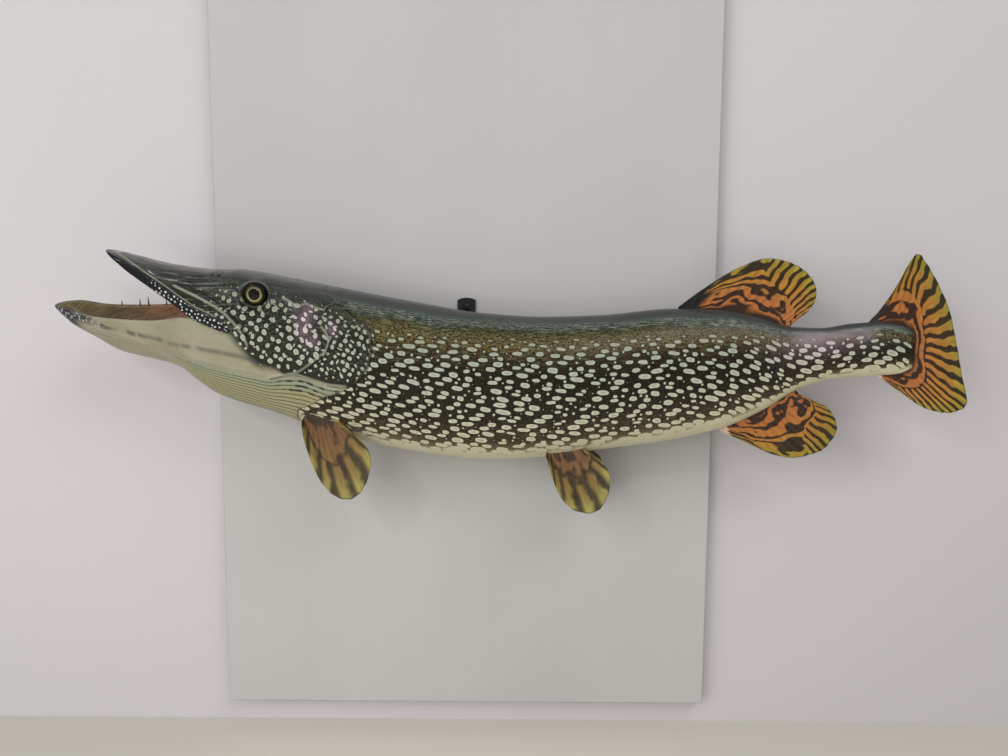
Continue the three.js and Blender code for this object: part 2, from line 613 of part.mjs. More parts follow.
const upright = () => 0;
const tailBow = (out) => TAIL_BOW * out * out;
const hanging = (start, splay) => (out) => start + splay * out;
const folded = (out, x, z) => flankAt(x, z) + FOLD_CLEARANCE + FOLD_SPLAY * out;
const foldedBack = (pairs) => swung(pairs, PECTORAL_ROOT[1], FOLD_ANGLE);
const FINS = {
  dorsal_fin: { root: DORSAL_ROOT, edge: DORSAL_EDGE, lean: upright },
  anal_fin: { root: ANAL_ROOT, edge: ANAL_EDGE, lean: upright },
  tail_fin: { root: TAIL_ROOT, edge: TAIL_EDGE, lean: tailBow },
  pectoral_fin_left: {
    root: PECTORAL_ROOT,
    edge: PECTORAL_EDGE,
    lean: hanging(PECTORAL_START, -PAIRED_SPLAY),
  },
  pectoral_fin_right: {
    root: foldedBack(PECTORAL_ROOT),
    edge: foldedBack(PECTORAL_EDGE),
    lean: folded,
  },
  pelvic_fin_left: {
    root: PELVIC_ROOT,
    edge: PELVIC_EDGE,
    lean: hanging(-PELVIC_START, -PAIRED_SPLAY),
  },
  pelvic_fin_right: {
    root: PELVIC_ROOT,
    edge: PELVIC_EDGE,
    lean: hanging(PELVIC_START, PAIRED_SPLAY),
  },
};
for (const [name, fin] of Object.entries(FINS)) {
  addPart(name, posed(toGeometry(finSolid(fin))), FIN_COLOUR, 0.3);
}

export default mount;
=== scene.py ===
# %% [markdown]
# # A mounted northern pike on its white board
# A taxidermist's pike is a painted skin stretched over a carved body. The head is bone and thin
# skin, the flanks are thousands of small overlapping scales, and the fins are fans of bony rays.
# This lesson builds the skin as one closed surface from a few measured curves, lays the scales on
# it, adds fins, eyes, teeth and tongue, and then paints everything with shader nodes.

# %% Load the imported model
import math
import random
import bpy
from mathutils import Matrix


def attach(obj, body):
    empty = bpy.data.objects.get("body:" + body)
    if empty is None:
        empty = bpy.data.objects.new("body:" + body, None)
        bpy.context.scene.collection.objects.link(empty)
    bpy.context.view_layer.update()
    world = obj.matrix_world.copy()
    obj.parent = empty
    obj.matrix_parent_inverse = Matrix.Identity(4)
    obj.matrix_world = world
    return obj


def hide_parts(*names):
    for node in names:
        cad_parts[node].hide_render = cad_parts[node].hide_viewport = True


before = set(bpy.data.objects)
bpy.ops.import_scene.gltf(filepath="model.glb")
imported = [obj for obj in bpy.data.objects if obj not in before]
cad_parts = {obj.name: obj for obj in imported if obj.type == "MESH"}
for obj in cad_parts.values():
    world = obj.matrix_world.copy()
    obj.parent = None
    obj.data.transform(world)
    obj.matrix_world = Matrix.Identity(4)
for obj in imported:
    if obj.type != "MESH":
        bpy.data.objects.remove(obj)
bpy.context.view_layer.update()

from types import SimpleNamespace
import bpy
import numpy as np
from mathutils import Matrix, Vector

MM = 0.001
print("packed nodes:", len(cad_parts))

# %% [markdown]
# ## Measured curves
# The outlines are read along the fish in millimetres, from the chin (x = -446) to the end of the
# scales (x = 497). Each is a short list of points with a smooth curve through them, the same
# curves that the solid parts were lofted from, so the skin fits them with nothing to adjust.

# %% Sizes of the fish
CHIN_X, SNOUT_X, MOUTH_CORNER_X = -446, -384, -286
GILL_X, TAIL_END_X, GULLET_END_X = -92, 497, -205
BACK_LINE = [(-384, 113), (-354, 105), (-313, 95), (-269, 90), (-245, 90), (-225, 87.5), (-160, 75),
             (-107, 65), (-48, 54.5), (20, 43.8), (87, 39.7), (154, 41.8), (237, 49.5), (290, 48),
             (330, 40), (365, 30), (397, 29), (430, 34), (460, 36), (485, 33), (497, 28)]
BELLY_LINE = [(-446, 49), (-434, 34), (-404, 13), (-382, -2), (-361, -8), (-317, -21), (-296, -35),
              (-274, -50), (-207, -72), (-140, -95), (-94, -108.5), (-26, -118.6), (30, -122.4),
              (88, -119.6), (156, -110), (224, -100.4), (291, -85), (335, -65), (378, -38.4),
              (421, -26.7), (455, -24.4), (485, -22), (497, -17)]
WIDEST_LINE = [(-286, 40.7), (-240, 22), (-180, 0), (-107, -12), (0, -30), (120, -32), (237, -18),
               (330, -8), (400, 0), (497, 6)]
HALF_WIDTH = [(-286, 34), (-245, 40), (-200, 46), (-150, 52), (-107, 54), (0, 54), (100, 52),
              (180, 47), (240, 40), (300, 31), (350, 23), (400, 16.5), (440, 13), (475, 9), (497, 5)]
BACK_SQUARENESS = [(-384, 2.4), (-225, 3), (-107, 2.5), (100, 2.3), (300, 2.1), (497, 2)]
BELLY_SQUARENESS = [(-446, 2), (-107, 2.1), (100, 2.2), (300, 2.1), (497, 2)]
UPPER_RIM = [(-384, 111), (-372, 103), (-357, 90.5), (-334, 75), (-313, 60.5), (-286, 40.7)]
LOWER_RIM = [(-446, 51), (-428, 50), (-400, 44.5), (-384, 43), (-350, 42), (-310, 42.5), (-286, 40.7)]
UPPER_JAW_HALF_WIDTH = [(-384, 15), (-366, 18), (-334, 25), (-286, 34)]
LOWER_JAW_HALF_WIDTH = [(-446, 14), (-423, 18), (-380, 24), (-335, 29), (-286, 34)]
SNOUT_ROUNDING, CHIN_ROUNDING = 16, 24
LIP, LIP_BULGE = 4, 1.6
PALATE_ARCH, ROOF_THICKNESS = 11, 5
MOUTH_DEPTH, JAW_WALL = 26, 6
GULLET_CLOSING, GULLET_SLOPE = 0.75, 0.3

# The pose: the fish stands off the wall, curls towards the room, and rolls its head and jaw.
FISH_STAND_OFF, CURL_DEPTH, CURL_REACH = 80, 14, 500
HEAD_ROLL, JAW_ROLL = math.radians(7), math.radians(12)
ROLL_AXIS_HEIGHT = -5
HEAD_ROLL_SPAN, JAW_ROLL_SPAN = (-94, 50), (-335, -286)


# %% A smooth curve through pairs
def smooth_curve(pairs):
    """A curve through (x, value) pairs that never swings past its neighbours."""
    xs, values = np.array(pairs, float).T
    slopes = np.diff(values) / np.diff(xs)
    before, after = slopes[:-1], slopes[1:]
    same_way = before * after > 0
    both = np.where(same_way, before + after, 1)
    inner = np.where(same_way, 2 * before * after / both, 0)
    tangents = np.concatenate([slopes[:1], inner, slopes[-1:]])

    def at(x):
        x = np.clip(np.asarray(x, float), xs[0], xs[-1])
        i = np.clip(np.searchsorted(xs, x, side="right") - 1, 0, len(xs) - 2)
        span = xs[i + 1] - xs[i]
        t = (x - xs[i]) / span
        start = values[i] * (1 + 2 * t) * (1 - t) ** 2 + tangents[i] * span * t * (1 - t) ** 2
        end = values[i + 1] * t * t * (3 - 2 * t) + tangents[i + 1] * span * t * t * (t - 1)
        return start + end

    return at


back_line, belly_line = smooth_curve(BACK_LINE), smooth_curve(BELLY_LINE)
widest_line, half_width = smooth_curve(WIDEST_LINE), smooth_curve(HALF_WIDTH)
back_squareness, belly_squareness = smooth_curve(BACK_SQUARENESS), smooth_curve(BELLY_SQUARENESS)
upper_rim, lower_rim = smooth_curve(UPPER_RIM), smooth_curve(LOWER_RIM)
upper_jaw_half_width = smooth_curve(UPPER_JAW_HALF_WIDTH)
lower_jaw_half_width = smooth_curve(LOWER_JAW_HALF_WIDTH)
print("body depth at x = 30:", float(back_line(30) - belly_line(30)), "mm")


# %% The pose as a function
def smooth_step(low, high, value):
    """0 below low, 1 above high, smooth between; low may be the larger."""
    t = np.clip((value - low) / (high - low), 0, 1)
    return t * t * (3 - 2 * t)


def rolled(points, angle, axis_height):
    """Points turned about the fish's long axis, each by its own angle."""
    rise = points[..., 2] - axis_height
    side = points[..., 1]
    y = side * np.cos(angle) - rise * np.sin(angle)
    z = axis_height + rise * np.cos(angle) + side * np.sin(angle)
    return np.stack([points[..., 0], y, z], -1)


def posed(points, in_jaw=False):
    """Straight points in millimetres moved to where the mounted fish holds them."""
    x = points[..., 0]
    if in_jaw:
        points = rolled(points, JAW_ROLL * smooth_step(*JAW_ROLL_SPAN[::-1], x), lower_rim(x))
    points = rolled(points, HEAD_ROLL * smooth_step(*HEAD_ROLL_SPAN[::-1], x), ROLL_AXIS_HEIGHT)
    moved = points.copy()
    moved[..., 1] -= FISH_STAND_OFF + CURL_DEPTH * (x / CURL_REACH) ** 2
    return moved


# %% [markdown]
# ## Rings round the fish
# A cross-section is two half ovals, one over the widest line and one under it, with their own
# squareness. Points spaced evenly along the arc keep the mesh squares even, and the distance
# along the arc is kept too: later it places the spots and the scales on the flank.


# %% Evenly spaced quarter ovals
def quarter_arc(width, rise, squareness, count):
    """From the top (0, rise) to the side (width, 0): sides, rises, outward normals, length."""
    turn = np.linspace(0, math.pi / 2, 240)
    side = width * np.sin(turn) ** (2 / squareness)
    up = rise * np.cos(turn) ** (2 / squareness)
    along = np.concatenate([[0], np.cumsum(np.hypot(np.diff(side), np.diff(up)))])
    even = np.linspace(0, along[-1], count + 1)
    side, up = np.interp(even, along, side), np.interp(even, along, up)
    out_side = (side / max(width, 1e-6)) ** (squareness - 1) / max(width, 1e-6)
    out_up = (up / max(rise, 1e-6)) ** (squareness - 1) / max(rise, 1e-6)
    length = np.maximum(np.hypot(out_side, out_up), 1e-9)
    return side, up, out_side / length, out_up / length, along[-1]


UPPER_COLUMNS, LOWER_COLUMNS, INSIDE_COLUMNS, LIP_COLUMNS = 58, 58, 26, 5


def half_section(x):
    """The near half of a body section, back ridge to belly: y, z, ny, nz and arc length."""
    width, middle = float(half_width(x)), float(widest_line(x))
    top = quarter_arc(width, float(back_line(x)) - middle, float(back_squareness(x)), UPPER_COLUMNS)
    low = quarter_arc(width, middle - float(belly_line(x)), float(belly_squareness(x)), LOWER_COLUMNS)
    y = np.concatenate([-top[0], -low[0][::-1][1:]])
    z = middle + np.concatenate([top[1], -low[1][::-1][1:]])
    ny = np.concatenate([-top[2], -low[2][::-1][1:]])
    nz = np.concatenate([top[3], -low[3][::-1][1:]])
    arc = np.concatenate([np.linspace(0, top[4], UPPER_COLUMNS + 1),
                          top[4] + np.linspace(0, low[4], LOWER_COLUMNS + 1)[1:]])
    return y, z, ny, nz, arc


print("half girth at x = 30:", round(float(half_section(30)[4][-1])), "mm")

# %% [markdown]
# ## Lines of the head
# Under a pike's thin head skin lie flat bones with raised edges: the upper jaw bone along the
# mouth, the preopercle and the gill cover on the cheek, the long mandible, and the fan of
# branchiostegal rays under it. Each is drawn once as a line in x and z. The same lines then lift
# the surface and guide the paint, so relief and colour always agree.

# %% Bone lines, in millimetres, as the straight fish shows them from its side
EYE_X, EYE_HEIGHT, EYE_SPREAD, EYE_RADIUS = -218.5, 67, 26.5, 12
GILL_COVER = [(-144, 46), (-138, 24), (-143, 5), (-158, -7), (-176, -14), (-181, -18), (-156, -23),
              (-121, -29), (-105, -15), (-95.5, 4), (-96, 28), (-113, 44.5), (-132, 56)]
PREOPERCLE = [(-146, 35), (-140, 28), (-138, 20), (-142, 9), (-151, 2), (-160, -5), (-169, -11.5),
              (-178, -15), (-192, -18), (-207, -22)]
COVER_FOOT = [(-186, -17), (-171, -16.8), (-153, -22.2), (-140, -26.3), (-121, -28)]
CHEEK_FOLD = [(-304, 75.5), (-286, 67.5), (-270, 60), (-257, 53), (-247, 45), (-238, 35),
              (-230, 23.5), (-227, 14)]
MANDIBLE_GROOVE = [(-404, 27), (-390, 25.5), (-374, 21), (-351, 12.5), (-325, 4), (-294, -7),
                   (-267, -12.5), (-245, -17), (-217, -22)]
TEMPLE_LINE = [(-187, 64.5), (-171, 55.5), (-163, 58.5), (-154, 55), (-144, 52)]
BROW_LINE = [(-340, 94), (-300, 88), (-262, 84), (-240, 83), (-226, 82)]
NOSTRILS = [(-265, 85.5), (-257.5, 85)]
maxilla_top = smooth_curve([(-384, 112.5), (-361, 101.6), (-317, 74.6), (-281, 51), (-269, 45.5),
                            (-256, 39), (-249, 33.5), (-244, 28.5)])
maxilla_foot = smooth_curve([*UPPER_RIM, (-271, 34), (-261, 30), (-248, 26.5), (-244, 27.5)])
throat_top = smooth_curve([(-330, 4), (-300, -6), (-272, -13), (-230, -20), (-207, -23), (-189, -19.5),
                           (-171, -18.5), (-153, -24), (-140, -28), (-121, -30), (-98, -34)])
gill_edge = smooth_curve([(-112, -180), (-70, -182), (-59, -179), (-53.5, -167), (-47.5, -157),
                          (-41, -146), (-37, -134), (-32, -123), (-27, -114), (-14, -102),
                          (-4, -96), (10, -93), (20, -93), (32, -96), (41, -106), (48, -118),
                          (56, -131), (61, -142), (80, -165)])
pale_edge = smooth_curve([(-446, 62), (-300, 45), (-265, 32), (-250, 25), (-241, 17), (-234, 8),
                          (-227, 0), (-220, -6), (-212, -11), (-201, -14), (-193, -17), (-186, -18),
                          (-170, -19), (-150, -24), (-121, -30), (-80, -60)])
BLOTCH_LINE = [(-443, 46), (-426, 45.5), (-412, 43.5), (-398, 39.5), (-386, 35), (-371, 32),
               (-354, 27), (-328, 21.5), (-305, 12), (-281, 8), (-258, 4.8), (-236, 1.2), (-219, -3.9)]
# Spots of painted pink highlight on the gill cover: x, z and size in millimetres.
PAINTED_HIGHLIGHT_SPOTS = [(-161, 50, 8), (-164, 42, 10), (-165, 30, 9), (-156, 20, 7), (-135, 32, 7)]
THROAT_RAYS = 12

# Raised and sunken edges: the line, how far back and up it is moved, its height and its width.
EDGES = [(PREOPERCLE, 0, 0, 0.7, 1.8), (PREOPERCLE, -3, 1, -0.5, 1.6), (COVER_FOOT, 0, 0, 0.5, 1.6),
         (CHEEK_FOLD, 0, 0, 0.9, 2.0), (CHEEK_FOLD, 2, 4, -0.8, 2.4), (TEMPLE_LINE, 0, 0, 0.8, 1.5),
         (BROW_LINE, 0, 0, 0.9, 3.0)]


# %% Distances to lines
def line_distance(x, z, line):
    """How far each (x, z) lies from a line of points."""
    nearest = np.full(np.shape(x), 1e9)
    for (x0, z0), (x1, z1) in zip(line, line[1:]):
        dx, dz = x1 - x0, z1 - z0
        t = np.clip(((x - x0) * dx + (z - z0) * dz) / (dx * dx + dz * dz), 0, 1)
        nearest = np.minimum(nearest, np.hypot(x - x0 - t * dx, z - z0 - t * dz))
    return nearest


def smooth_loop(points, steps=4):
    """A closed line through points, rounded between them."""
    points = np.array(points, float)
    p0, p1, p2, p3 = (np.roll(points, shift, 0) for shift in (1, 0, -1, -2))
    t = (np.arange(steps) / steps)[:, None, None]
    bends = 2 * p1 + (p2 - p0) * t + (2 * p0 - 5 * p1 + 4 * p2 - p3) * t ** 2
    bends = (bends + (3 * p1 - p0 - 3 * p2 + p3) * t ** 3) / 2
    loop = bends.transpose(1, 0, 2).reshape(-1, 2)
    return [*map(tuple, loop), tuple(loop[0])]


def inside_depth(x, z, loop):
    """Distance to a closed line, positive inside it and negative outside."""
    inside = np.zeros(np.shape(x), bool)
    for (x0, z0), (x1, z1) in zip(loop, loop[1:]):
        crosses = (z0 > z) != (z1 > z)
        inside ^= crosses & (x < x0 + (x1 - x0) * (z - z0) / np.where(z1 == z0, 1, z1 - z0))
    return line_distance(x, z, loop) * np.where(inside, 1, -1)


COVER_LOOP = smooth_loop(GILL_COVER)


def ridge(distance, width):
    """1 on a line, falling away over about its width."""
    return np.exp(-(distance / width) ** 2)


def throat_part(x, z):
    """0 at the top of the throat's fan of rays, 1 at the belly line."""
    top = throat_top(x)
    return (top - z) / np.maximum(top - belly_line(x), 1)


def throat_zone(x, z):
    """1 where the branchiostegal rays show, under the mandible and the gill cover."""
    part = throat_part(x, z)
    in_front = smooth_step(0.5, -1.5, x - gill_edge(z))
    return smooth_step(-330, -290, x) * in_front * smooth_step(0, 0.06, part)


# %% Relief of the outer skin, in millimetres along its normal
def relief(x, z):
    """How far the skin stands out from (or sinks under) the plain lofted body."""
    cover = inside_depth(x, z, COVER_LOOP)
    rear = smooth_step(-150, -136, x)
    rise = 1.5 * smooth_step(-0.4, 1.2, cover)
    rise -= 1.1 * ridge(cover + 1.1, 1.1) * rear
    for line, back, up, height, width in EDGES:
        rise += height * ridge(line_distance(x - back, z - up, line), width)
    top, foot = maxilla_top(x), maxilla_foot(x)
    in_maxilla = smooth_step(-0.6, 1, top - z) * smooth_step(-0.6, 0.8, z - foot)
    in_maxilla *= smooth_step(-243, -247, x)
    rise += 0.9 * in_maxilla - 0.8 * ridge(z - top - 1.4, 1.5) * smooth_step(-244, -252, x)
    rise -= 0.9 * ridge(foot - z - 1.3, 1.3) * smooth_step(-290, -280, x) * smooth_step(-243, -248, x)
    groove = line_distance(x, z, MANDIBLE_GROOVE)
    rise -= 1.2 * ridge(groove, 1.5) + 0.4 * ridge(groove, 5)
    rise += 0.5 * ridge(line_distance(x, z - 3.5, MANDIBLE_GROOVE), 2.2)
    fan = throat_zone(x, z)
    rise -= 0.55 * fan * (0.5 + 0.5 * np.cos(2 * np.pi * THROAT_RAYS * throat_part(x, z))) ** 2
    flap = smooth_step(0.8, -0.8, x - gill_edge(z)) * smooth_step(-24, -32, z)
    rise += 0.9 * flap * smooth_step(-200, -185, x)
    for nostril_x, nostril_z in NOSTRILS:
        away = np.hypot(x - nostril_x, z - nostril_z)
        rise += 0.7 * ridge(away - 2.6, 1.1) - 1.9 * ridge(away, 1.5)
    head = smooth_step(-60, -130, x)
    wander = np.sin(x * 0.21 + z * 0.13) * np.sin(z * 0.27 - x * 0.07 + 1)
    return rise + 0.25 * head * wander


LID_DEPTH, LID_DIP, LID_EDGE, LID_UNDER_GLASS = 4.0, 1.1, 11, 2.5
BRIM_RADIUS, BRIM_HEIGHT, BRIM_WIDTH = 13.4, 0.5, 1.1
SOCKET_OUTER, SOCKET_INNER, SOCKET_REACH = 18.5, 12.8, 25
FLANK_FROM = 8


def with_socket(points):
    """The skin dips round each eyeball and closes on it with a low brim."""
    x, y, z = np.moveaxis(points, -1, 0)
    away = np.hypot(x - EYE_X, z - EYE_HEIGHT)
    glass = np.sqrt(np.maximum(EYE_RADIUS ** 2 - away ** 2, 0))
    lid = LID_DEPTH - LID_DIP * smooth_step(EYE_RADIUS, LID_EDGE, away)
    depth = np.where(away < LID_EDGE, np.minimum(glass - LID_UNDER_GLASS, lid), lid)
    socket = -(EYE_SPREAD + depth) - BRIM_HEIGHT * ridge(away - BRIM_RADIUS, BRIM_WIDTH)
    blend = smooth_step(SOCKET_OUTER, SOCKET_INNER, away)
    side = np.where(y > 0, -1, 1)
    outline = np.abs(y) > FLANK_FROM
    return np.stack([x, np.where(outline, side * (side * y * (1 - blend) + socket * blend), y), z], -1)


# %% [markdown]
# ## One skin from four sheets
# The body is a tube that opens at the corners of the mouth into two jaws, with the palate and the
# floor of the mouth on their inner sides and the gullet behind. Each stretch starts as a flat grid
# primitive whose vertices are laid on the measured rings. The grids share their border points, so
# joining them and merging doubles gives one closed skin with no seam.


# %% Lay a grid primitive on an array of points
def deselect_all():
    bpy.ops.object.select_all(action="DESELECT")


def laid_grid(name, points, values=None, maps=None):
    """A grid over points (rows, columns, 3) in millimetres, with named values and UV maps."""
    rows, columns = points.shape[:2]
    deselect_all()
    bpy.ops.mesh.primitive_grid_add(x_subdivisions=columns - 1, y_subdivisions=rows - 1, size=2)
    sheet = bpy.context.object
    sheet.name = name
    mesh = sheet.data
    flat = np.empty(len(mesh.vertices) * 3)
    mesh.vertices.foreach_get("co", flat)
    flat = flat.reshape(-1, 3)
    column = np.rint((flat[:, 0] + 1) / 2 * (columns - 1)).astype(int)
    row = np.rint((flat[:, 1] + 1) / 2 * (rows - 1)).astype(int)
    mesh.vertices.foreach_set("co", (points[row, column] * MM).ravel())
    for key, value in (values or {}).items():
        layer = mesh.attributes.new(key, "FLOAT", "POINT")
        layer.data.foreach_set("value", value[row, column].astype(np.float32))
    while mesh.uv_layers:
        mesh.uv_layers.remove(mesh.uv_layers[0])
    corner = np.empty(len(mesh.loops), int)
    mesh.loops.foreach_get("vertex_index", corner)
    for key, value in (maps or {}).items():
        layer = mesh.uv_layers.new(name=key)
        layer.data.foreach_set("uv", value[row, column][corner].astype(np.float32).ravel())
    mesh.update()
    return sheet


def joined(name, sheets, merge=0.00002):
    """Sheets as one closed mesh, doubles merged and faces turned outwards."""
    deselect_all()
    for sheet in sheets:
        sheet.select_set(True)
    bpy.context.view_layer.objects.active = sheets[0]
    if len(sheets) > 1:
        bpy.ops.object.join()
    piece = bpy.context.object
    piece.name = name
    piece.data.name = name
    bpy.ops.object.mode_set(mode="EDIT")
    bpy.ops.mesh.select_all(action="SELECT")
    bpy.ops.mesh.remove_doubles(threshold=merge)
    bpy.ops.mesh.normals_make_consistent(inside=False)
    bpy.ops.object.mode_set(mode="OBJECT")
    bpy.ops.object.shade_smooth()
    return piece


# %% What the paint needs to know at each point of the skin
SKIN_DEPTH = 0.35
FAR_AWAY, HEAD_END_X, COVER_REACH, BONE_REACH = 30.0, -60, 12, 6


def paint_values(x, z, arc, half_arc, inside):
    """What the colours are mixed by: masks from 0 to 1, and distances in millimetres."""
    shape = np.shape(x)
    away = np.full(shape, FAR_AWAY)
    head = x < HEAD_END_X
    lines = {name: away.copy() for name in ("pale_line", "dark_line", "blotch_line")}
    xh, zh = x[head], z[head]
    cover = inside_depth(xh, zh, COVER_LOOP)
    cover_depth = np.full(shape, float(-COVER_REACH))
    cover_depth[head] = np.clip(cover, -COVER_REACH, COVER_REACH)
    lines["pale_line"][head] = np.minimum.reduce([
        line_distance(xh, zh, PREOPERCLE) / 1.2,
        line_distance(xh, zh, CHEEK_FOLD) / 1.4,
        line_distance(xh, zh, TEMPLE_LINE) / 1.1,
        line_distance(xh, zh, COVER_FOOT) / 1.3,
        np.where(xh < -258, np.abs(zh - maxilla_top(xh) - 2.4) / 0.9, FAR_AWAY),
        np.where(xh < -217, line_distance(xh, zh - 1, MANDIBLE_GROOVE) / 1.1, FAR_AWAY),
    ])
    # Lines of painted shade: the groove behind the gill cover, beside the preopercle and the cheek fold,
    # under the mandible groove, and in the nostrils.
    lines["dark_line"][head] = np.minimum.reduce([
        np.where(xh > -142, np.abs(cover + 1.2), FAR_AWAY),
        line_distance(xh - 3, zh + 1, PREOPERCLE) / 1.4,
        line_distance(xh - 2, zh - 4, CHEEK_FOLD) / 1.6,
        line_distance(xh, zh + 2, MANDIBLE_GROOVE) / 0.7 + 0.5,
        *[np.hypot(xh - a, zh - b) / 1.8 for a, b in NOSTRILS],
    ])
    lines["blotch_line"][head] = line_distance(xh, zh, BLOTCH_LINE)
    depth = np.minimum(maxilla_top(x) - z, z - maxilla_foot(x))
    # A painted pink highlight on the gill cover, and a fainter band of it along the narrow root of the
    # tail.
    sheen = np.zeros(shape)
    for spot_x, spot_z, size in PAINTED_HIGHLIGHT_SPOTS:
        sheen = np.maximum(sheen, ridge(np.hypot(x - spot_x, z - spot_z), size))
    girth = np.clip(np.abs(arc) / half_arc, 0, 1)
    tail_highlight_band = ridge(x - 395, 50) * ridge(girth - 0.36, 0.17)
    return {"girth": girth, "inside": inside, **lines,
            "gill_gap": np.clip(x - gill_edge(z), -FAR_AWAY, FAR_AWAY),
            "maxilla": np.where((x < -240) & (inside < 0.5),
                                np.clip(depth, -BONE_REACH, BONE_REACH), -BONE_REACH),
            "pale_rise": np.where(head, np.clip(pale_edge(x) - z, -FAR_AWAY, FAR_AWAY), -FAR_AWAY),
            "cover": cover_depth,
            "fan_row": throat_part(x, z) * THROAT_RAYS, "fan": throat_zone(x, z),
            "eye_gap": np.minimum(np.hypot((x - EYE_X) / 1.15, z - EYE_HEIGHT) - 11.7, FAR_AWAY),
            "sheen": np.maximum(sheen, 0.7 * tail_highlight_band)}


# %% Half sheets of the skin, near side of the middle plane
HEAD_STEP, TRUNK_STEP, JAW_STEP, GULLET_STEP = 1.6, 5.0, 1.7, 4.0
TIP_STATIONS = 11


def spaced(start, end, step):
    return np.linspace(start, end, int(round(abs(end - start) / step)) + 1)


def body_half():
    """Ridge to belly, mouth corner to tail: points of the straight fish and their arc lengths."""
    stations = np.concatenate([spaced(MOUTH_CORNER_X, GILL_X, HEAD_STEP),
                               spaced(GILL_X, TAIL_END_X, TRUNK_STEP)[1:]])
    rows, arcs = [], []
    for x in stations:
        y, z, ny, nz, arc = half_section(x)
        lift = relief(np.full_like(z, x), z) * smooth_step(30, -20, x)
        lift -= SKIN_DEPTH * smooth_step(2, 6, x - gill_edge(z))
        row = np.stack([np.full_like(z, x), y + ny * lift, z + nz * lift], -1)
        rows.append(with_socket(row) if abs(x - EYE_X) < SOCKET_REACH else row)
        arcs.append(arc)
    tail = rows[-1].copy()
    tail[:] = (TAIL_END_X + 0.5, 0, tail[:, 2].mean())
    return np.array([*rows, tail]), np.array([*arcs, arcs[-1]])


CORNER_GIRTH = half_section(MOUTH_CORNER_X)[4][-1]


def jaw_stations(tip_x, rounding):
    """Places along a jaw and how full it is there: a quarter circle, then even steps."""
    turn = np.linspace(0, math.pi / 2, TIP_STATIONS)
    round_part = tip_x + rounding * (1 - np.cos(turn))
    rest = spaced(tip_x + rounding, MOUTH_CORNER_X, JAW_STEP)[1:]
    return np.concatenate([round_part, rest]), np.concatenate([np.sin(turn), np.ones(len(rest))])


def jaw_half(upper):
    """Outer skin, rounded lip and lining of one jaw: points, arcs, and 1 where it is inside."""
    stations, fullness = jaw_stations(*((SNOUT_X, SNOUT_ROUNDING) if upper else (CHIN_X, CHIN_ROUNDING)))
    rows, arcs, inner = [], [], []
    way = 1 if upper else -1
    for x, full in zip(stations, fullness):
        rim = float(upper_rim(x) if upper else lower_rim(x))
        width = float(upper_jaw_half_width(x) if upper else lower_jaw_half_width(x)) * full
        reach = max(float(back_line(x)) - rim if upper else rim - float(belly_line(x)), 0) * full
        wall, deepest = (ROOF_THICKNESS, PALATE_ARCH) if upper else (JAW_WALL, MOUTH_DEPTH)
        squareness = float(back_squareness(x) if upper else belly_squareness(x))
        lip = min(LIP, width / 3)
        hollow = min(deepest, max(reach - wall, reach / 4))
        side, rise, nside, nrise, length = quarter_arc(width, reach, squareness, UPPER_COLUMNS)
        z = rim + way * rise
        lift = relief(np.full_like(z, x), z) * full ** 2
        outer = np.stack([np.full_like(z, x), -side - nside * lift, z + way * nrise * lift], -1)
        parted = smooth_step(MOUTH_CORNER_X, MOUTH_CORNER_X - 14, x)
        part = np.arange(1, LIP_COLUMNS) / LIP_COLUMNS
        bulge = LIP_BULGE * min(1, width / 10) * parted * np.sin(np.pi * part)
        lip_z = rim + way * (lip / 4 * parted * part - bulge)
        lip_y = outer[-1, 1] + (lip + (-width - outer[-1, 1])) * part
        lips = np.stack([np.full_like(part, x), lip_y, lip_z], -1)
        side, rise, _, _, inside_length = quarter_arc(width - lip, hollow, 2, INSIDE_COLUMNS)
        lining_z = rim + way * (lip / 4 * parted + rise[::-1])
        lining = np.stack([np.full_like(lining_z, x), -side[::-1], lining_z], -1)
        rows.append(np.concatenate([outer, lips, lining]))
        along = np.linspace(0, length, UPPER_COLUMNS + 1)
        if not upper:
            along = CORNER_GIRTH - along
        ends = length + np.linspace(1, LIP + inside_length, LIP_COLUMNS + INSIDE_COLUMNS)
        arcs.append(np.concatenate([along, ends if upper else CORNER_GIRTH - ends]))
        inner.append(np.concatenate([np.zeros(UPPER_COLUMNS + 1), smooth_step(0.2, 0.8, part),
                                     np.ones(INSIDE_COLUMNS + 1)]))
    return np.array(rows), np.array(arcs), np.array(inner)


def gullet_half():
    """The lining behind the mouth's corners, from its roof to its floor, closed at the back."""
    rows = []
    corner_reach = float(upper_jaw_half_width(MOUTH_CORNER_X)) - LIP
    for x in spaced(MOUTH_CORNER_X, GULLET_END_X, GULLET_STEP):
        closing = 1 - GULLET_CLOSING * smooth_step(MOUTH_CORNER_X, GULLET_END_X, x)
        middle = float(lower_rim(MOUTH_CORNER_X)) - (x - MOUTH_CORNER_X) * GULLET_SLOPE
        top = quarter_arc(corner_reach * closing, PALATE_ARCH * closing, 2, INSIDE_COLUMNS)
        low = quarter_arc(corner_reach * closing, MOUTH_DEPTH * closing, 2, INSIDE_COLUMNS)
        y = np.concatenate([-top[0], -low[0][::-1][1:]])
        z = middle + np.concatenate([top[1], -low[1][::-1][1:]])
        rows.append(np.stack([np.full_like(z, x), y, z], -1))
    end = rows[-1].copy()
    end[:] = (GULLET_END_X + 1, 0, rows[-1][:, 2].mean())
    return np.array([*rows, end])


# %% Lay the eight half sheets and join them
def skin_sheet(name, points, arc, half_arc, inside, side, in_jaw=False):
    """One sheet of the skin: side is 1 for the near flank and -1 for the far one."""
    x, z = points[..., 0], points[..., 2]
    values = paint_values(x, z, arc, half_arc, inside)
    flank_map = np.stack([x / 100, -side * arc / 100], -1)
    placed = points * (1, side, 1)
    return laid_grid(name, posed(placed, in_jaw), values, {"Flank": flank_map})


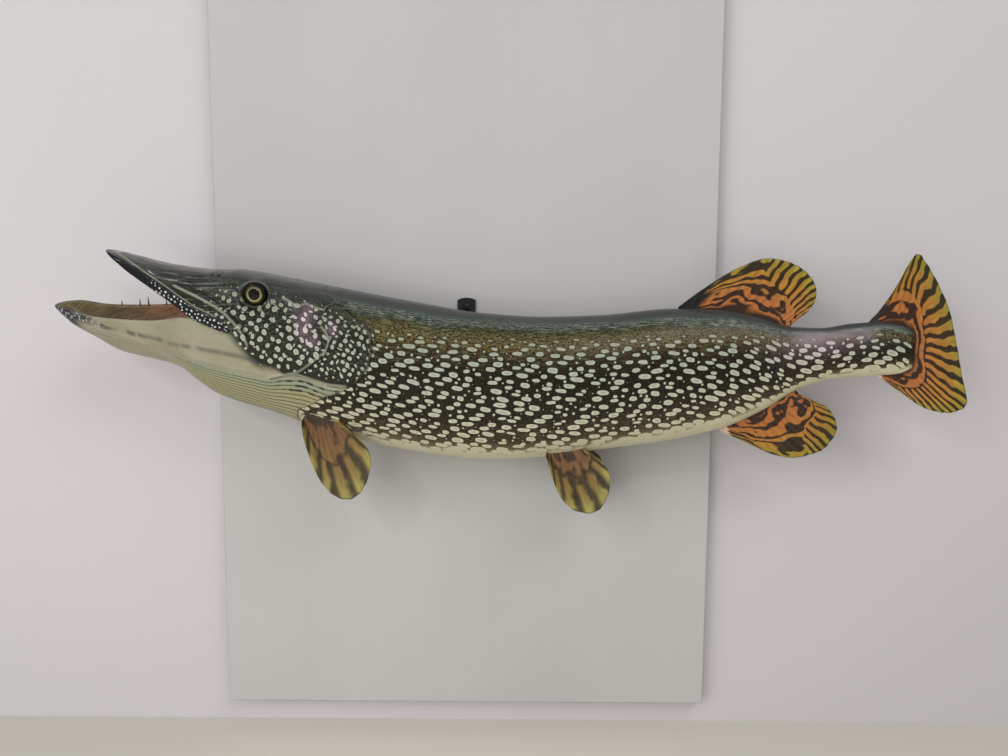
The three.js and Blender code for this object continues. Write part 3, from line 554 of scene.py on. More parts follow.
def pike_skin():
    sheets = []
    body, body_arc = body_half()
    gullet = gullet_half()
    upper, lower = jaw_half(True), jaw_half(False)
    for side, end in ((1, "near"), (-1, "far")):
        sheets.append(skin_sheet(f"body_{end}", body, body_arc, body_arc[:, -1:],
                                 np.zeros(body.shape[:2]), side))
        sheets.append(skin_sheet(f"upper_{end}", *upper[:2], CORNER_GIRTH, upper[2], side))
        sheets.append(skin_sheet(f"lower_{end}", *lower[:2], CORNER_GIRTH, lower[2], side, True))
        ones = np.ones(gullet.shape[:2])
        sheets.append(skin_sheet(f"gullet_{end}", gullet, ones * 40, CORNER_GIRTH, ones, side))
    return joined("pike_skin", sheets)


def triangle_count(piece):
    return sum(len(face.vertices) - 2 for face in piece.data.polygons)


skin = pike_skin()
skin_nodes = ["upper_jaw", "lower_jaw", "head", "throat", "gill_cover_left", "gill_cover_right",
              "trunk_front", "trunk_middle", "trunk_rear", "tail_stalk"]
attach(skin, "root")
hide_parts(*skin_nodes)
print("skin triangles:", triangle_count(skin))

# %% [markdown]
# ## The coat of scales
# A pike's scales are small, thin and set in a brick pattern, each with its front buried and its
# rounded rear edge lying over the next. One scale is a small closed lens of sixteen faces. It is
# copied to every place over a table of the flank's shape, so each copy bends with the body, and the
# whole coat of a flank is one mesh. Scales carry the same paint values as the skin beneath them.

# %% A table of the flank: even steps along the body and round its girth
TABLE_START, TABLE_STEP, GIRTH_STEPS = -192, 4.0, 160
table_x = np.arange(TABLE_START, TAIL_END_X + 0.1, TABLE_STEP)
table_rows = []
for x in table_x:
    y, z, ny, nz, arc = half_section(x)
    even = np.linspace(0, arc[-1], GIRTH_STEPS + 1)
    table_rows.append([*(np.interp(even, arc, value) for value in (y, z, ny, nz)), even])
flank_table = np.array(table_rows).transpose(0, 2, 1)
half_girth = smooth_curve([(x, row[-1, 4]) for x, row in zip(table_x, flank_table)])


def flank_at(x, girth):
    """y, z, ny, nz and arc of points on the near flank; girth runs from 0 on the back to 1."""
    column = np.clip((x - TABLE_START) / TABLE_STEP, 0, len(table_x) - 1.001)
    level = np.clip(girth * GIRTH_STEPS, 0, GIRTH_STEPS - 0.001)
    i, j = column.astype(int), level.astype(int)
    u, v = (column - i)[..., None], (level - j)[..., None]
    low = flank_table[i, j] * (1 - v) + flank_table[i, j + 1] * v
    high = flank_table[i + 1, j] * (1 - v) + flank_table[i + 1, j + 1] * v
    return np.moveaxis(low * (1 - u) + high * u, -1, 0)


# %% Where the scales stand
SCALE_ROWS = 40
SCALE_PITCH = 0.52
SCALES_END_X = 490


def scale_roots(draw):
    """Places (x, girth) of the scales of one flank, with the size of each, front to back."""
    roots, x, shift = [], TABLE_START + 6.0, 0
    while x < SCALES_END_X:
        row_width = float(half_girth(x)) / SCALE_ROWS
        girth = (np.arange(SCALE_ROWS) + 0.25 + 0.5 * shift) / SCALE_ROWS
        girth = np.clip(girth + draw.uniform(-0.04, 0.04, SCALE_ROWS) / SCALE_ROWS, 0.002, 0.998)
        place = x + draw.uniform(-0.05, 0.05, SCALE_ROWS) * row_width
        size = row_width * draw.uniform(0.95, 1.05, SCALE_ROWS)
        roots.append(np.stack([place, girth, size], -1))
        x += max(row_width * SCALE_PITCH, 1.5)
        shift = 1 - shift
    roots = np.concatenate(roots)
    _, z, _, _, _ = flank_at(roots[:, 0], roots[:, 1])
    bare_tail = roots[:, 0] > SCALES_END_X - 10 * np.abs(roots[:, 1] - 0.5)
    return roots[(roots[:, 0] > gill_edge(z) + 3.5) & ~bare_tail]


# One scale, as (along, across, lift): a rim of eight points, its crown and its underside.
SCALE_RIM = [(-0.85, 0.0, -0.3), (-0.45, 0.36, -0.12), (0.1, 0.55, 0.1), (0.62, 0.36, 0.3),
             (0.84, 0.0, 0.38), (0.62, -0.36, 0.3), (0.1, -0.55, 0.1), (-0.45, -0.36, -0.12)]
SCALE_CROWN, SCALE_UNDER = (0.12, 0.0, 0.42), (0.0, 0.0, -0.3)
# Each scale bakes to a patch about 0.003 across, at its root's place on the flank laid flat.
BAKE_PATCH, BAKE_MARGIN = 0.0015, 0.01


def scale_coat(name, side, seed):
    """All the scales of one flank as one mesh; side is 1 for the near flank, -1 for the far."""
    draw = np.random.default_rng(seed)
    roots = scale_roots(draw)
    shape = np.array([*SCALE_RIM, SCALE_CROWN, SCALE_UNDER])
    rim = len(SCALE_RIM)
    x = roots[:, None, 0] + shape[None, :, 0] * roots[:, None, 2]
    girth_width = roots[:, 2] / half_girth(roots[:, 0])
    girth = np.clip(roots[:, None, 1] + shape[None, :, 1] * girth_width[:, None], 0, 1)
    y, z, ny, nz, arc = flank_at(x, girth)
    flat = 0.45 + 0.55 * smooth_step(0.1, 0.2, roots[:, 1]) * smooth_step(0.95, 0.8, roots[:, 1])
    tail_thin = smooth_step(-10, 10, SCALES_END_X - roots[:, 0]) * 0.4 + 0.6
    lift = shape[None, :, 2] * (flat * tail_thin * draw.uniform(0.85, 1.15, len(roots)))[:, None]
    lift -= SKIN_DEPTH
    points = np.stack([x, (y + ny * lift) * side, z + nz * lift], -1)
    placed = posed(points).reshape(-1, 3) * MM
    top = [(i, (i + 1) % rim, rim) for i in range(rim)]
    under = [((i + 1) % rim, i, rim + 1) for i in range(rim)]
    faces = np.array([face[::side] for face in top + under])
    each = np.arange(len(roots))[:, None, None] * len(shape)
    mesh = bpy.data.meshes.new(name)
    mesh.from_pydata(placed.tolist(), [], (each + faces[None]).reshape(-1, 3).tolist())
    piece = bpy.data.objects.new(name, mesh)
    bpy.context.scene.collection.objects.link(piece)
    half = half_girth(x)
    values = paint_values(x, z, arc, half, np.zeros_like(x))
    for key, value in values.items():
        layer = mesh.attributes.new(key, "FLOAT", "POINT")
        layer.data.foreach_set("value", value.astype(np.float32).ravel())
    corner = np.empty(len(mesh.loops), int)
    mesh.loops.foreach_get("vertex_index", corner)
    flank_map = np.stack([x / 100, -side * arc / 100], -1).reshape(-1, 2)
    patch = shape[None, :, :2] * BAKE_PATCH
    unwrap = (roots[:, :2] - (TABLE_START, 0)) / (TAIL_END_X - TABLE_START, 1)
    bake_map = (BAKE_MARGIN + (1 - 2 * BAKE_MARGIN) * unwrap[:, None] + patch).reshape(-1, 2)
    for key, value in (("OFBake", bake_map), ("Flank", flank_map)):
        layer = mesh.uv_layers.new(name=key)
        layer.data.foreach_set("uv", value[corner].astype(np.float32).ravel())
    deselect_all()
    piece.select_set(True)
    bpy.context.view_layer.objects.active = piece
    bpy.ops.object.shade_smooth_by_angle(angle=math.radians(35))
    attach(piece, "root")
    print(name, "has", len(roots), "scales,", triangle_count(piece), "triangles")
    return piece


scales_near = scale_coat("scales_near", 1, 11)
scales_far = scale_coat("scales_far", -1, 12)

# %% [markdown]
# ## Fins
# A fin is a fan of bony rays joined by thin membrane. The rays run straight from a short root
# line to the long free edge, so a fin is the surface between those two curves. Two grids, one for
# each face, stand apart by the fin's thickness, thicker over each ray, and close along the rim.

# %% Roots and edges of the fins
DORSAL_ROOT = [(243, 44), (290, 44), (340, 32), (362, 26)]
DORSAL_EDGE = [(240, 51), (264, 69), (296, 90), (328, 104), (350, 104), (372, 96), (388, 80),
               (391, 61), (381, 45), (366, 35)]
ANAL_ROOT = [(290, -80), (340, -56), (372, -38)]
ANAL_EDGE = [(290, -88), (325, -103), (350, -114), (374, -118), (396, -113), (411, -104),
             (421, -83), (412, -63), (395, -53), (377, -49)]
TAIL_ROOT = [(448, 33), (484, 27), (490, 7), (484, -16), (458, -19)]
TAIL_EDGE = [(453, 43), (472, 73), (491, 109), (505, 97), (526, 60), (538, 22), (546, -14),
             (555, -51), (544, -62), (528, -63), (507, -57), (485, -42), (461, -26)]
PECTORAL_ROOT = [(-171, -64), (-153, -64), (-137, -66)]
PECTORAL_EDGE = [(-173, -70), (-171, -93), (-159, -131), (-143, -154), (-122, -159),
                 (-106, -142), (-99, -110), (-112, -87), (-132, -74)]
PELVIC_ROOT = [(96, -104), (114, -102), (132, -99)]
PELVIC_EDGE = [(93, -112), (101, -138), (110, -159), (127, -174), (149, -175), (162, -156),
               (163, -131), (150, -115), (136, -108)]
FIN_ROOT_THICKNESS, FIN_EDGE_THICKNESS = 5.0, 0.9
RAY_COLUMNS, FIN_ROWS = 6, 44
TAIL_BOW, PECTORAL_START, PELVIC_START, PAIRED_SPLAY = -8, -34, 20, 12
FOLD_ANGLE, FOLD_CLEARANCE, FOLD_SPLAY = math.radians(85), 1.0, 2.0


def spline(pairs, at):
    """Points of the smooth curve through pairs, at runs from 0 to 1."""
    points = np.array(pairs, float)
    place = np.clip(at, 0, 1) * (len(points) - 1)
    i = np.minimum(place.astype(int), len(points) - 2)
    t = (place - i)[:, None]
    p0, p1 = points[np.maximum(i - 1, 0)], points[i]
    p2, p3 = points[i + 1], points[np.minimum(i + 2, len(points) - 1)]
    v0, v1 = (p2 - p0) / 2, (p3 - p1) / 2
    return (2 * p1 - 2 * p2 + v0 + v1) * t ** 3 + (3 * p2 - 3 * p1 - 2 * v0 - v1) * t ** 2 + v0 * t + p1


def swung(pairs, pivot, angle):
    """An outline turned about a pivot, as a fin folded back along the body is."""
    points = np.array(pairs, float) - pivot
    turn = np.array([(math.cos(angle), math.sin(angle)), (-math.sin(angle), math.cos(angle))])
    return (points @ turn + pivot).tolist()


def flank_width(x, z):
    """How far the flank stands from the middle plane at a height."""
    middle = widest_line(x)
    reach = np.where(z > middle, back_line(x) - middle, middle - belly_line(x))
    squareness = np.where(z > middle, back_squareness(x), belly_squareness(x))
    part = np.minimum(1, np.abs(z - middle) / reach)
    return half_width(x) * (1 - part ** squareness) ** (1 / squareness)


# %% A fin from its root, its edge, its lean and its rays
def fin(name, root, edge, lean, rays):
    """A closed fan; lean(out, x, z) says how far across the fish each point stands."""
    across = np.linspace(0, 1, rays * RAY_COLUMNS + 1)
    out = np.linspace(0, 1, FIN_ROWS + 1)[:, None]
    phase = 2 * np.pi * rays * across
    notch = 1 - 0.009 * (0.5 - 0.5 * np.cos(phase)) * smooth_step(0.8, 1, out)
    reach = (out * notch)[..., None]
    middle = spline(root, across)[None] * (1 - reach) + spline(edge, across)[None] * reach
    x, z = middle[..., 0], middle[..., 1]
    thickness = FIN_ROOT_THICKNESS + (FIN_EDGE_THICKNESS - FIN_ROOT_THICKNESS) * out ** 0.5
    rim = np.sqrt(np.clip(1 - (1 - np.minimum(1, (1 - out) / 0.03)) ** 2, 0, 1))
    sides = np.minimum(across, 1 - across) / (0.35 / rays)
    rim = rim * np.sqrt(np.clip(1 - (1 - np.minimum(1, sides)) ** 2, 0, 1))
    branch = 0.5 * np.cos(2 * phase) * smooth_step(0.5, 0.75, out)
    ribs = 1 + (0.32 * np.cos(phase) + 0.22 * branch) * smooth_step(0.08, 0.3, out)
    half = thickness * rim * ribs / 2
    ripple = 0.35 * np.sin(phase * 0.37 + 3 * out) * out
    place = lean(out, x, z) + ripple
    fin_map = np.stack(np.broadcast_arrays(across[None], out), -1)
    sheets = []
    for face in (-1, 1):
        points = posed(np.stack([x, place + face * half, z], -1))
        sheets.append(laid_grid(f"{name}_face", points, {"ray": ribs - 1}, {"Fin": fin_map}))
    piece = joined(name, sheets, merge=0.00001)
    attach(piece, "root")
    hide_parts(name)
    print(name, "has", rays, "rays and", triangle_count(piece), "triangles")
    return piece


def upright(out, x, z):
    return 0 * out


def bowed(out, x, z):
    return TAIL_BOW * out ** 2


def hanging(start, splay):
    return lambda out, x, z: start + splay * out


def folded(out, x, z):
    return flank_width(x, z) + FOLD_CLEARANCE + FOLD_SPLAY * out


def folded_back(pairs):
    return swung(pairs, PECTORAL_ROOT[1], FOLD_ANGLE)


near_pectoral = hanging(PECTORAL_START, -PAIRED_SPLAY)
near_pelvic, far_pelvic = hanging(-PELVIC_START, -PAIRED_SPLAY), hanging(PELVIC_START, PAIRED_SPLAY)
FINS = {
    "dorsal_fin": (DORSAL_ROOT, DORSAL_EDGE, upright, 20),
    "anal_fin": (ANAL_ROOT, ANAL_EDGE, upright, 18),
    "tail_fin": (TAIL_ROOT, TAIL_EDGE, bowed, 24),
    "pectoral_fin_left": (PECTORAL_ROOT, PECTORAL_EDGE, near_pectoral, 14),
    "pectoral_fin_right": (folded_back(PECTORAL_ROOT), folded_back(PECTORAL_EDGE), folded, 14),
    "pelvic_fin_left": (PELVIC_ROOT, PELVIC_EDGE, near_pelvic, 11),
    "pelvic_fin_right": (PELVIC_ROOT, PELVIC_EDGE, far_pelvic, 11),
}
fins = {name: fin(name, *shape) for name, shape in FINS.items()}

# %% [markdown]
# ## Eyes
# A mount's eye is glass: a painted iris bowl with a round black pupil behind a clear dome. The
# bowl is a sphere pressed nearly flat in front, and the dome is a slightly larger sphere over it
# whose back half stays inside the head. How far each point lies from the eye's axis is stored on the
# bowl, so the rings of the iris can be painted from it.

# %% Eyes
DOME_GROWTH, IRIS_DEPTH, IRIS_BULGE = 0.25, 4.2, 2.2
EYE_SEGMENTS, EYE_RINGS = 64, 40


def eye_frame(side):
    """Centre of one eyeball in metres, and its outward axis."""
    centre = np.array([[EYE_X, -side * EYE_SPREAD, EYE_HEIGHT]], float)
    tip = centre + (0, -side, 0)
    seat, end = posed(centre)[0], posed(tip)[0]
    return Vector(seat * MM), Vector(end - seat).normalized()


def glass_eye(name, side):
    seat, axis = eye_frame(side)
    deselect_all()
    bpy.ops.mesh.primitive_uv_sphere_add(segments=EYE_SEGMENTS, ring_count=EYE_RINGS,
                                         radius=EYE_RADIUS * MM)
    bowl = bpy.context.object
    bowl.name = name
    turn = Vector((0, 0, 1)).rotation_difference(axis)
    rings = []
    for vertex in bowl.data.vertices:
        away = math.hypot(vertex.co.x, vertex.co.y) / (EYE_RADIUS * MM)
        rings.append(away)
        iris_height = EYE_RADIUS - IRIS_DEPTH + IRIS_BULGE * (0.25 - away ** 2)
        vertex.co.z = min(vertex.co.z, iris_height * MM)
        vertex.co = turn @ vertex.co + seat
    layer = bowl.data.attributes.new("iris", "FLOAT", "POINT")
    layer.data.foreach_set("value", rings)
    bpy.ops.object.shade_smooth()
    bpy.ops.mesh.primitive_uv_sphere_add(segments=EYE_SEGMENTS, ring_count=EYE_RINGS,
                                         radius=(EYE_RADIUS + DOME_GROWTH) * MM)
    dome = bpy.context.object
    dome.name = name + "_dome"
    for vertex in dome.data.vertices:
        vertex.co = turn @ vertex.co + seat
    bpy.ops.object.shade_smooth()
    for piece in (bowl, dome):
        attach(piece, "root")
    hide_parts(name)
    return bowl, dome


eyes = [glass_eye("eye_left", 1), glass_eye("eye_right", -1)]

# %% [markdown]
# ## Teeth and tongue
# The big teeth of a pike stand along the sides of the lower jaw, a few tall and thin with small
# ones between. Each is a cone, bent a little towards the throat. The tongue is a narrow pad on
# the floor of the mouth, laid on rings like the jaws.

# %% Teeth
FANG_RADIUS, FANG_ROOT, FANG_SINK = 1.4, 3.0, 4.0
FANGS = [(-385, 7), (-366, 9), (-357, 12), (-338, 7), (-320, 6)]
SMALL_TEETH, SMALL_TOOTH_HEIGHT, SMALL_TOOTH_RADIUS, SMALL_TOOTH_SPAN = 16, 0.9, 0.7, (-424, -306)
TOOTH_TIP_RADIUS, TOOTH_BEND, TOOTH_BEND_IN = 0.12, 0.14, 0.6


def tooth(x, height, side, radius):
    """A cone on the lower jaw's rim, with its tip bent inwards and back."""
    near = side > 0
    inboard = LIP if near else LIP / 2
    foot = float(lower_rim(x)) - FANG_ROOT - (FANG_SINK if near else 0)
    y = -side * (float(lower_jaw_half_width(x)) - inboard)
    deselect_all()
    bpy.ops.mesh.primitive_cone_add(vertices=10, radius1=radius, radius2=TOOTH_TIP_RADIUS, depth=1,
                                    end_fill_type="TRIFAN")
    cone = bpy.context.object
    bpy.ops.object.mode_set(mode="EDIT")
    bpy.ops.mesh.select_all(action="SELECT")
    bpy.ops.mesh.subdivide(number_cuts=2)
    bpy.ops.object.mode_set(mode="OBJECT")
    length = height + FANG_ROOT + (FANG_SINK if near else 0)
    for vertex in cone.data.vertices:
        up = vertex.co.z + 0.5
        bend = TOOTH_BEND * height * up ** 2
        straight = np.array([vertex.co.x + x + bend, vertex.co.y + y + side * bend * TOOTH_BEND_IN,
                             foot + up * length])
        vertex.co = posed(straight, True) * MM
    return cone


def tooth_row():
    draw = random.Random(5)
    row = []
    for side in (1, -1):
        row += [tooth(x, height, side, FANG_RADIUS) for x, height in FANGS]
        for x in np.linspace(*SMALL_TOOTH_SPAN, SMALL_TEETH):
            place = float(x) + draw.uniform(-1.5, 1.5)
            height = SMALL_TOOTH_HEIGHT * draw.uniform(0.6, 1.2)
            row.append(tooth(place, height, side, SMALL_TOOTH_RADIUS))
    return row


teeth = joined("teeth", tooth_row(), merge=0.000001)
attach(teeth, "root")
print("teeth triangles:", triangle_count(teeth))

# %% Tongue
TONGUE_SPAN, TONGUE_HALF_WIDTH, TONGUE_HEIGHT = (-395, -300), 9, 5
TONGUE_CLEARANCE, TONGUE_TIP_LIFT = 2.5, 9


def tongue_rings():
    front, back = TONGUE_SPAN
    turn = np.linspace(0, 2 * math.pi, 41)
    rows = []
    for x in np.linspace(front, back, 60):
        along = (x - front) / (back - front)
        width = TONGUE_HALF_WIDTH * math.sqrt(min(1, along * 3)) * min(1, (1 - along) * 20)
        height = TONGUE_HEIGHT * min(1, math.sqrt(along * 4)) * min(1, (1 - along) * 20)
        middle = float(lower_rim(x)) - MOUTH_DEPTH + TONGUE_CLEARANCE + TONGUE_HEIGHT
        middle += TONGUE_TIP_LIFT * (1 - along) ** 2
        z = middle + height * np.cos(turn) - 1.2 * np.exp(-(turn / 0.5) ** 2) * min(1, along * 4)
        z -= 1.2 * np.exp(-((2 * math.pi - turn) / 0.5) ** 2) * min(1, along * 4)
        rows.append(np.stack([np.full_like(turn, x), -width * np.sin(turn), z], -1))
    return np.array(rows)


tongue = joined("tongue", [laid_grid("tongue", posed(tongue_rings(), True))])
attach(tongue, "root")
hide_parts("tongue")

# %% [markdown]
# ## Paint, from nodes
# A taxidermist airbrushes the skin and then dots every pale oval by hand, under a clear varnish.
# Here the same layers are shader nodes. They read the distances stored on the skin and a map of
# the flank laid flat, so the skin and each scale over it show one continuous pattern. Rounded
# spots, the fish's paint and the fins' paint are node groups, which the finishes then share.


# %% Short names for shader nodes
def colour(code):
    """A hex colour as the linear values that shader sockets hold."""
    parts = [int(code[i:i + 2], 16) / 255 for i in (1, 3, 5)]
    return (*[((p + 0.055) / 1.055) ** 2.4 if p > 0.04045 else p / 12.92 for p in parts], 1)


class Wiring:
    """Adds nodes to one tree. A value is a link, a number, a tuple or a hex colour."""

    def __init__(self, tree):
        self.tree = tree

    def plug(self, socket, value):
        if isinstance(value, bpy.types.NodeSocket):
            self.tree.links.new(value, socket)
        else:
            socket.default_value = colour(value) if isinstance(value, str) else value

    def node(self, kind, values=None, **settings):
        made = self.tree.nodes.new("ShaderNode" + kind)
        for key, value in settings.items():
            setattr(made, key, value)
        for key, value in (values or {}).items():
            self.plug(made.inputs[key], value)
        return made

    def maths(self, operation, *values):
        return self.node("Math", dict(enumerate(values)), operation=operation).outputs[0]

    def less(self, value, taken):
        return self.maths("SUBTRACT", value, taken)

    def larger(self, first, second):
        return self.maths("MAXIMUM", first, second)

    def scaled(self, value, factor, shift):
        """The value times a factor, with a shift added."""
        return self.maths("MULTIPLY_ADD", value, factor, shift)

    def times(self, *values):
        product = values[0]
        for value in values[1:]:
            product = self.maths("MULTIPLY", product, value)
        return product

    def fade(self, value, low, high):
        """0 at low, 1 at high and smooth between; low may be the larger."""
        limits = {"Value": value, "From Min": low, "From Max": high}
        return self.node("MapRange", limits, interpolation_type="SMOOTHSTEP").outputs[0]

    def between(self, amount, first, second):
        """A number that runs from first to second as the amount runs from 0 to 1."""
        return self.node("Mix", {0: amount, 2: first, 3: second}, data_type="FLOAT").outputs[0]

    def mix(self, amount, first, second):
        """A colour that runs from first to second as the amount runs from 0 to 1."""
        return self.node("Mix", {0: amount, 6: first, 7: second}, data_type="RGBA").outputs[2]

    def shade(self, paint, amount):
        """A colour made lighter or darker by a number."""
        return self.node("VectorMath", {0: paint, "Scale": amount}, operation="SCALE").outputs[0]

    def vector_maths(self, operation, *values):
        return self.node("VectorMath", dict(enumerate(values)), operation=operation).outputs[0]

    def stretch(self, vector, scale, shift=(0, 0, 0)):
        return self.vector_maths("MULTIPLY_ADD", vector, scale, shift)

    def split(self, vector):
        return self.node("SeparateXYZ", {0: vector}).outputs

    def combined(self, x, y, z):
        return self.node("CombineXYZ", {0: x, 1: y, 2: z}).outputs[0]

    def noise(self, vector, scale, detail=2.0, roughness=0.5, shift=(0, 0, 0), output=0):
        """Clouds from 0 to 1, long where the scale is small; output 1 is a colour of them."""
        place = self.stretch(vector, scale, shift)
        values = {"Vector": place, "Scale": 1.0, "Detail": detail, "Roughness": roughness}
        return self.node("TexNoise", values).outputs[output]

    def ramp(self, value, stops):
        made = self.node("ValToRGB", {0: value})
        elements = made.color_ramp.elements
        elements[0].position, elements[1].position = stops[0][0], stops[-1][0]
        elements[0].color, elements[1].color = colour(stops[0][1]), colour(stops[-1][1])
        for place, code in stops[1:-1]:
            elements.new(place).color = colour(code)
        return made.outputs[0]


# %% Node groups and materials
SOCKETS = {"number": "NodeSocketFloat", "vector": "NodeSocketVector", "colour": "NodeSocketColor"}
PAINT_OUTPUTS = {"Colour": "colour", "Roughness": "number", "Height": "number"}


def as_socket(name):
    """A socket's name from a value's name: cell_length is Cell length."""
    return name.replace("_", " ").capitalize()


def new_group(name, inputs, outputs):
    """An empty node group with named sockets: its wiring, its inputs and its output node."""
    tree = bpy.data.node_groups.new(name, "ShaderNodeTree")
    for direction, sockets in (("INPUT", inputs), ("OUTPUT", outputs)):
        for key, kind in sockets.items():
            tree.interface.new_socket(name=key, in_out=direction, socket_type=SOCKETS[kind])
    given = tree.nodes.new("NodeGroupInput").outputs
    result = tree.nodes.new("NodeGroupOutput").inputs
    return Wiring(tree), given, result


def place_group(wires, group, **values):
    """A group in a material or another group, its sockets filled by name."""
    made = wires.tree.nodes.new("ShaderNodeGroup")
    made.node_tree = group
    for key, value in values.items():
        wires.plug(made.inputs[as_socket(key)], value)
    return made.outputs


def new_material(name, **settings):
    """A material with one Principled shader whose plain sockets are set by name."""
    material = bpy.data.materials.new(name)
    material.use_nodes = True
    shader = material.node_tree.nodes["Principled BSDF"]
    for key, value in settings.items():
        shader.inputs[key.replace("_", " ").title().replace("Ior", "IOR")].default_value = value
    return material, Wiring(material.node_tree), shader


def object_place(wires):
    return wires.node("TexCoord").outputs["Object"]


def add_paint(wires, shader, paint, roughness):
    wires.plug(shader.inputs["Base Color"], paint)
    wires.plug(shader.inputs["Roughness"], roughness)


def add_bump(wires, shader, height, strength, distance):
    bump = wires.node("Bump", {"Strength": strength, "Distance": distance, "Height": height})
    wires.plug(shader.inputs["Normal"], bump.outputs[0])


def dress(piece, material):
    piece.data.materials.clear()
    piece.data.materials.append(material)


# %% Rounded spots: one oval in each cell
SPOT_SIZES = ("Cell length", "Cell height", "Turn", "Small", "Large", "Shortest", "Gap")
CELL_SLANT = {"Axis": (0, 0, 1), "Angle": math.atan(0.5)}
CELL_RANDOMNESS = 0.5
OVAL_POWER = 2.5
SMALLEST_DRAW = 0.84


def spots_group():
    """Depth inside the nearest spot in millimetres, negative outside; its middle and how far."""
    inputs = {"Place": "vector", **{size: "number" for size in SPOT_SIZES}}
    outputs = {"Depth": "number", "Middle": "vector", "Away": "number"}
    wires, given, result = new_group("rounded_spots", inputs, outputs)
    cell = wires.combined(given["Cell length"], given["Cell height"], 1.0)
    unit = wires.vector_maths("DIVIDE", given["Place"], cell)
    place = wires.node("VectorRotate", {"Vector": unit, **CELL_SLANT}).outputs[0]
    cells = {"Vector": place, "Scale": 1.0, "Randomness": CELL_RANDOMNESS}
    nearest = wires.node("TexVoronoi", cells, voronoi_dimensions="2D").outputs
    fitting = wires.node("TexVoronoi", cells, voronoi_dimensions="2D",
                         feature="N_SPHERE_RADIUS").outputs["Radius"]
    offset = wires.vector_maths("SUBTRACT", place, nearest["Position"])
    offset = wires.node("VectorRotate", {"Vector": offset, **CELL_SLANT}, invert=True).outputs[0]
    offset = wires.vector_maths("MULTIPLY", offset, cell)
    along, across, _ = wires.split(offset)
    turn_draw, long_draw, size_draw = wires.split(nearest["Color"])
    turn = wires.times(wires.less(turn_draw, 0.5), given["Turn"])
    cosine, sine = wires.maths("COSINE", turn), wires.maths("SINE", turn)
    ahead = wires.scaled(along, cosine, wires.times(across, sine))
    aside = wires.less(wires.times(across, cosine), wires.times(along, sine))
    radius = wires.scaled(given["Gap"], -0.5, wires.times(fitting, given["Cell height"]))
    radius = wires.maths("MINIMUM", wires.larger(radius, given["Small"]), given["Large"])
    radius = wires.times(radius, wires.between(size_draw, SMALLEST_DRAW, 1.0))
    aspect = wires.maths("DIVIDE", given["Cell length"], given["Cell height"])
    reach = wires.times(radius, aspect, wires.between(long_draw, given["Shortest"], 1.0))
    far, wide = (wires.maths("POWER", wires.maths("ABSOLUTE", wires.maths("DIVIDE", *pair)), OVAL_POWER)
                 for pair in ((ahead, reach), (aside, radius)))
    whole = wires.maths("POWER", wires.maths("ADD", far, wide), 1 / OVAL_POWER)
    wires.plug(result["Depth"], wires.times(wires.less(1.0, whole), radius))
    wires.plug(result["Middle"], wires.vector_maths("SUBTRACT", given["Place"], offset))
    distance = wires.node("VectorMath", {0: offset}, operation="LENGTH").outputs["Value"]
    wires.plug(result["Away"], distance)
    return wires.tree


rounded_spots = spots_group()


def spots(wires, place, shift=None, **sizes):
    """Rounded spots at a place in millimetres, which a shift slides so that no two sets agree."""
    moved = wires.stretch(place, (1, 1, 1), shift) if shift else place
    return place_group(wires, rounded_spots, place=moved, **sizes)


# %% [markdown]
# ### The fish's own paint
# From the back down: smooth slate, a frayed teal streak, bronze scribbled with dark dashes, then
# near black with rows of pale ovals, and at the belly the ovals run together into cream. The head
# has rounder spots, the upper jaw bone fine white dots, and the lower jaw is cream with a broken
# dark line. The inside of the mouth goes from olive at the chin to a reddish brown. Each layer is
# a function that takes the paint so far and returns it with its own marks on top.

# %% Colours, and the facts that the skin and scales carry
# Both ramps are lightest grey at the ridge (girth 0). This is partly the grey paint of the back and
# partly a painted highlight along its top.
BODY_BANDS = [(0.0, "#4a4c4a"), (0.05, "#363837"), (0.1, "#3a3e3b"), (0.13, "#404a43"),
              (0.155, "#2f3530"), (0.19, "#22251a"), (0.225, "#433b1e"), (0.29, "#463a1b"),
              (0.34, "#271e0f"), (0.42, "#0d0b07"), (0.58, "#0f0e09"), (0.68, "#1e1a12"),
              (0.77, "#352e20"), (0.82, "#665d45"), (0.87, "#bdb596"), (1.0, "#cdc8aa")]
HEAD_BANDS = [(0.0, "#5e5e5a"), (0.07, "#4f504b"), (0.13, "#393b36"), (0.2, "#292c26"),
              (0.28, "#1b1d15"), (0.55, "#1a1a12"), (0.7, "#25271c"), (1.0, "#25271c")]
SPOT_COLOURS = [(0.2, "#7b7c64"), (0.38, "#969c8d"), (0.62, "#a6a893"), (0.85, "#bcb799")]
MOUTH_COLOURS = [(0.0, "#665c42"), (0.35, "#675a40"), (0.55, "#7b6046"), (0.8, "#8b604b"),
                 (1.0, "#634032")]
MOUTH_LENGTH = 170
SKIN_FACTS = ("girth", "inside", "pale_line", "dark_line", "blotch_line", "gill_gap", "maxilla",
              "pale_rise", "cover", "fan_row", "fan", "sheen", "eye_gap")


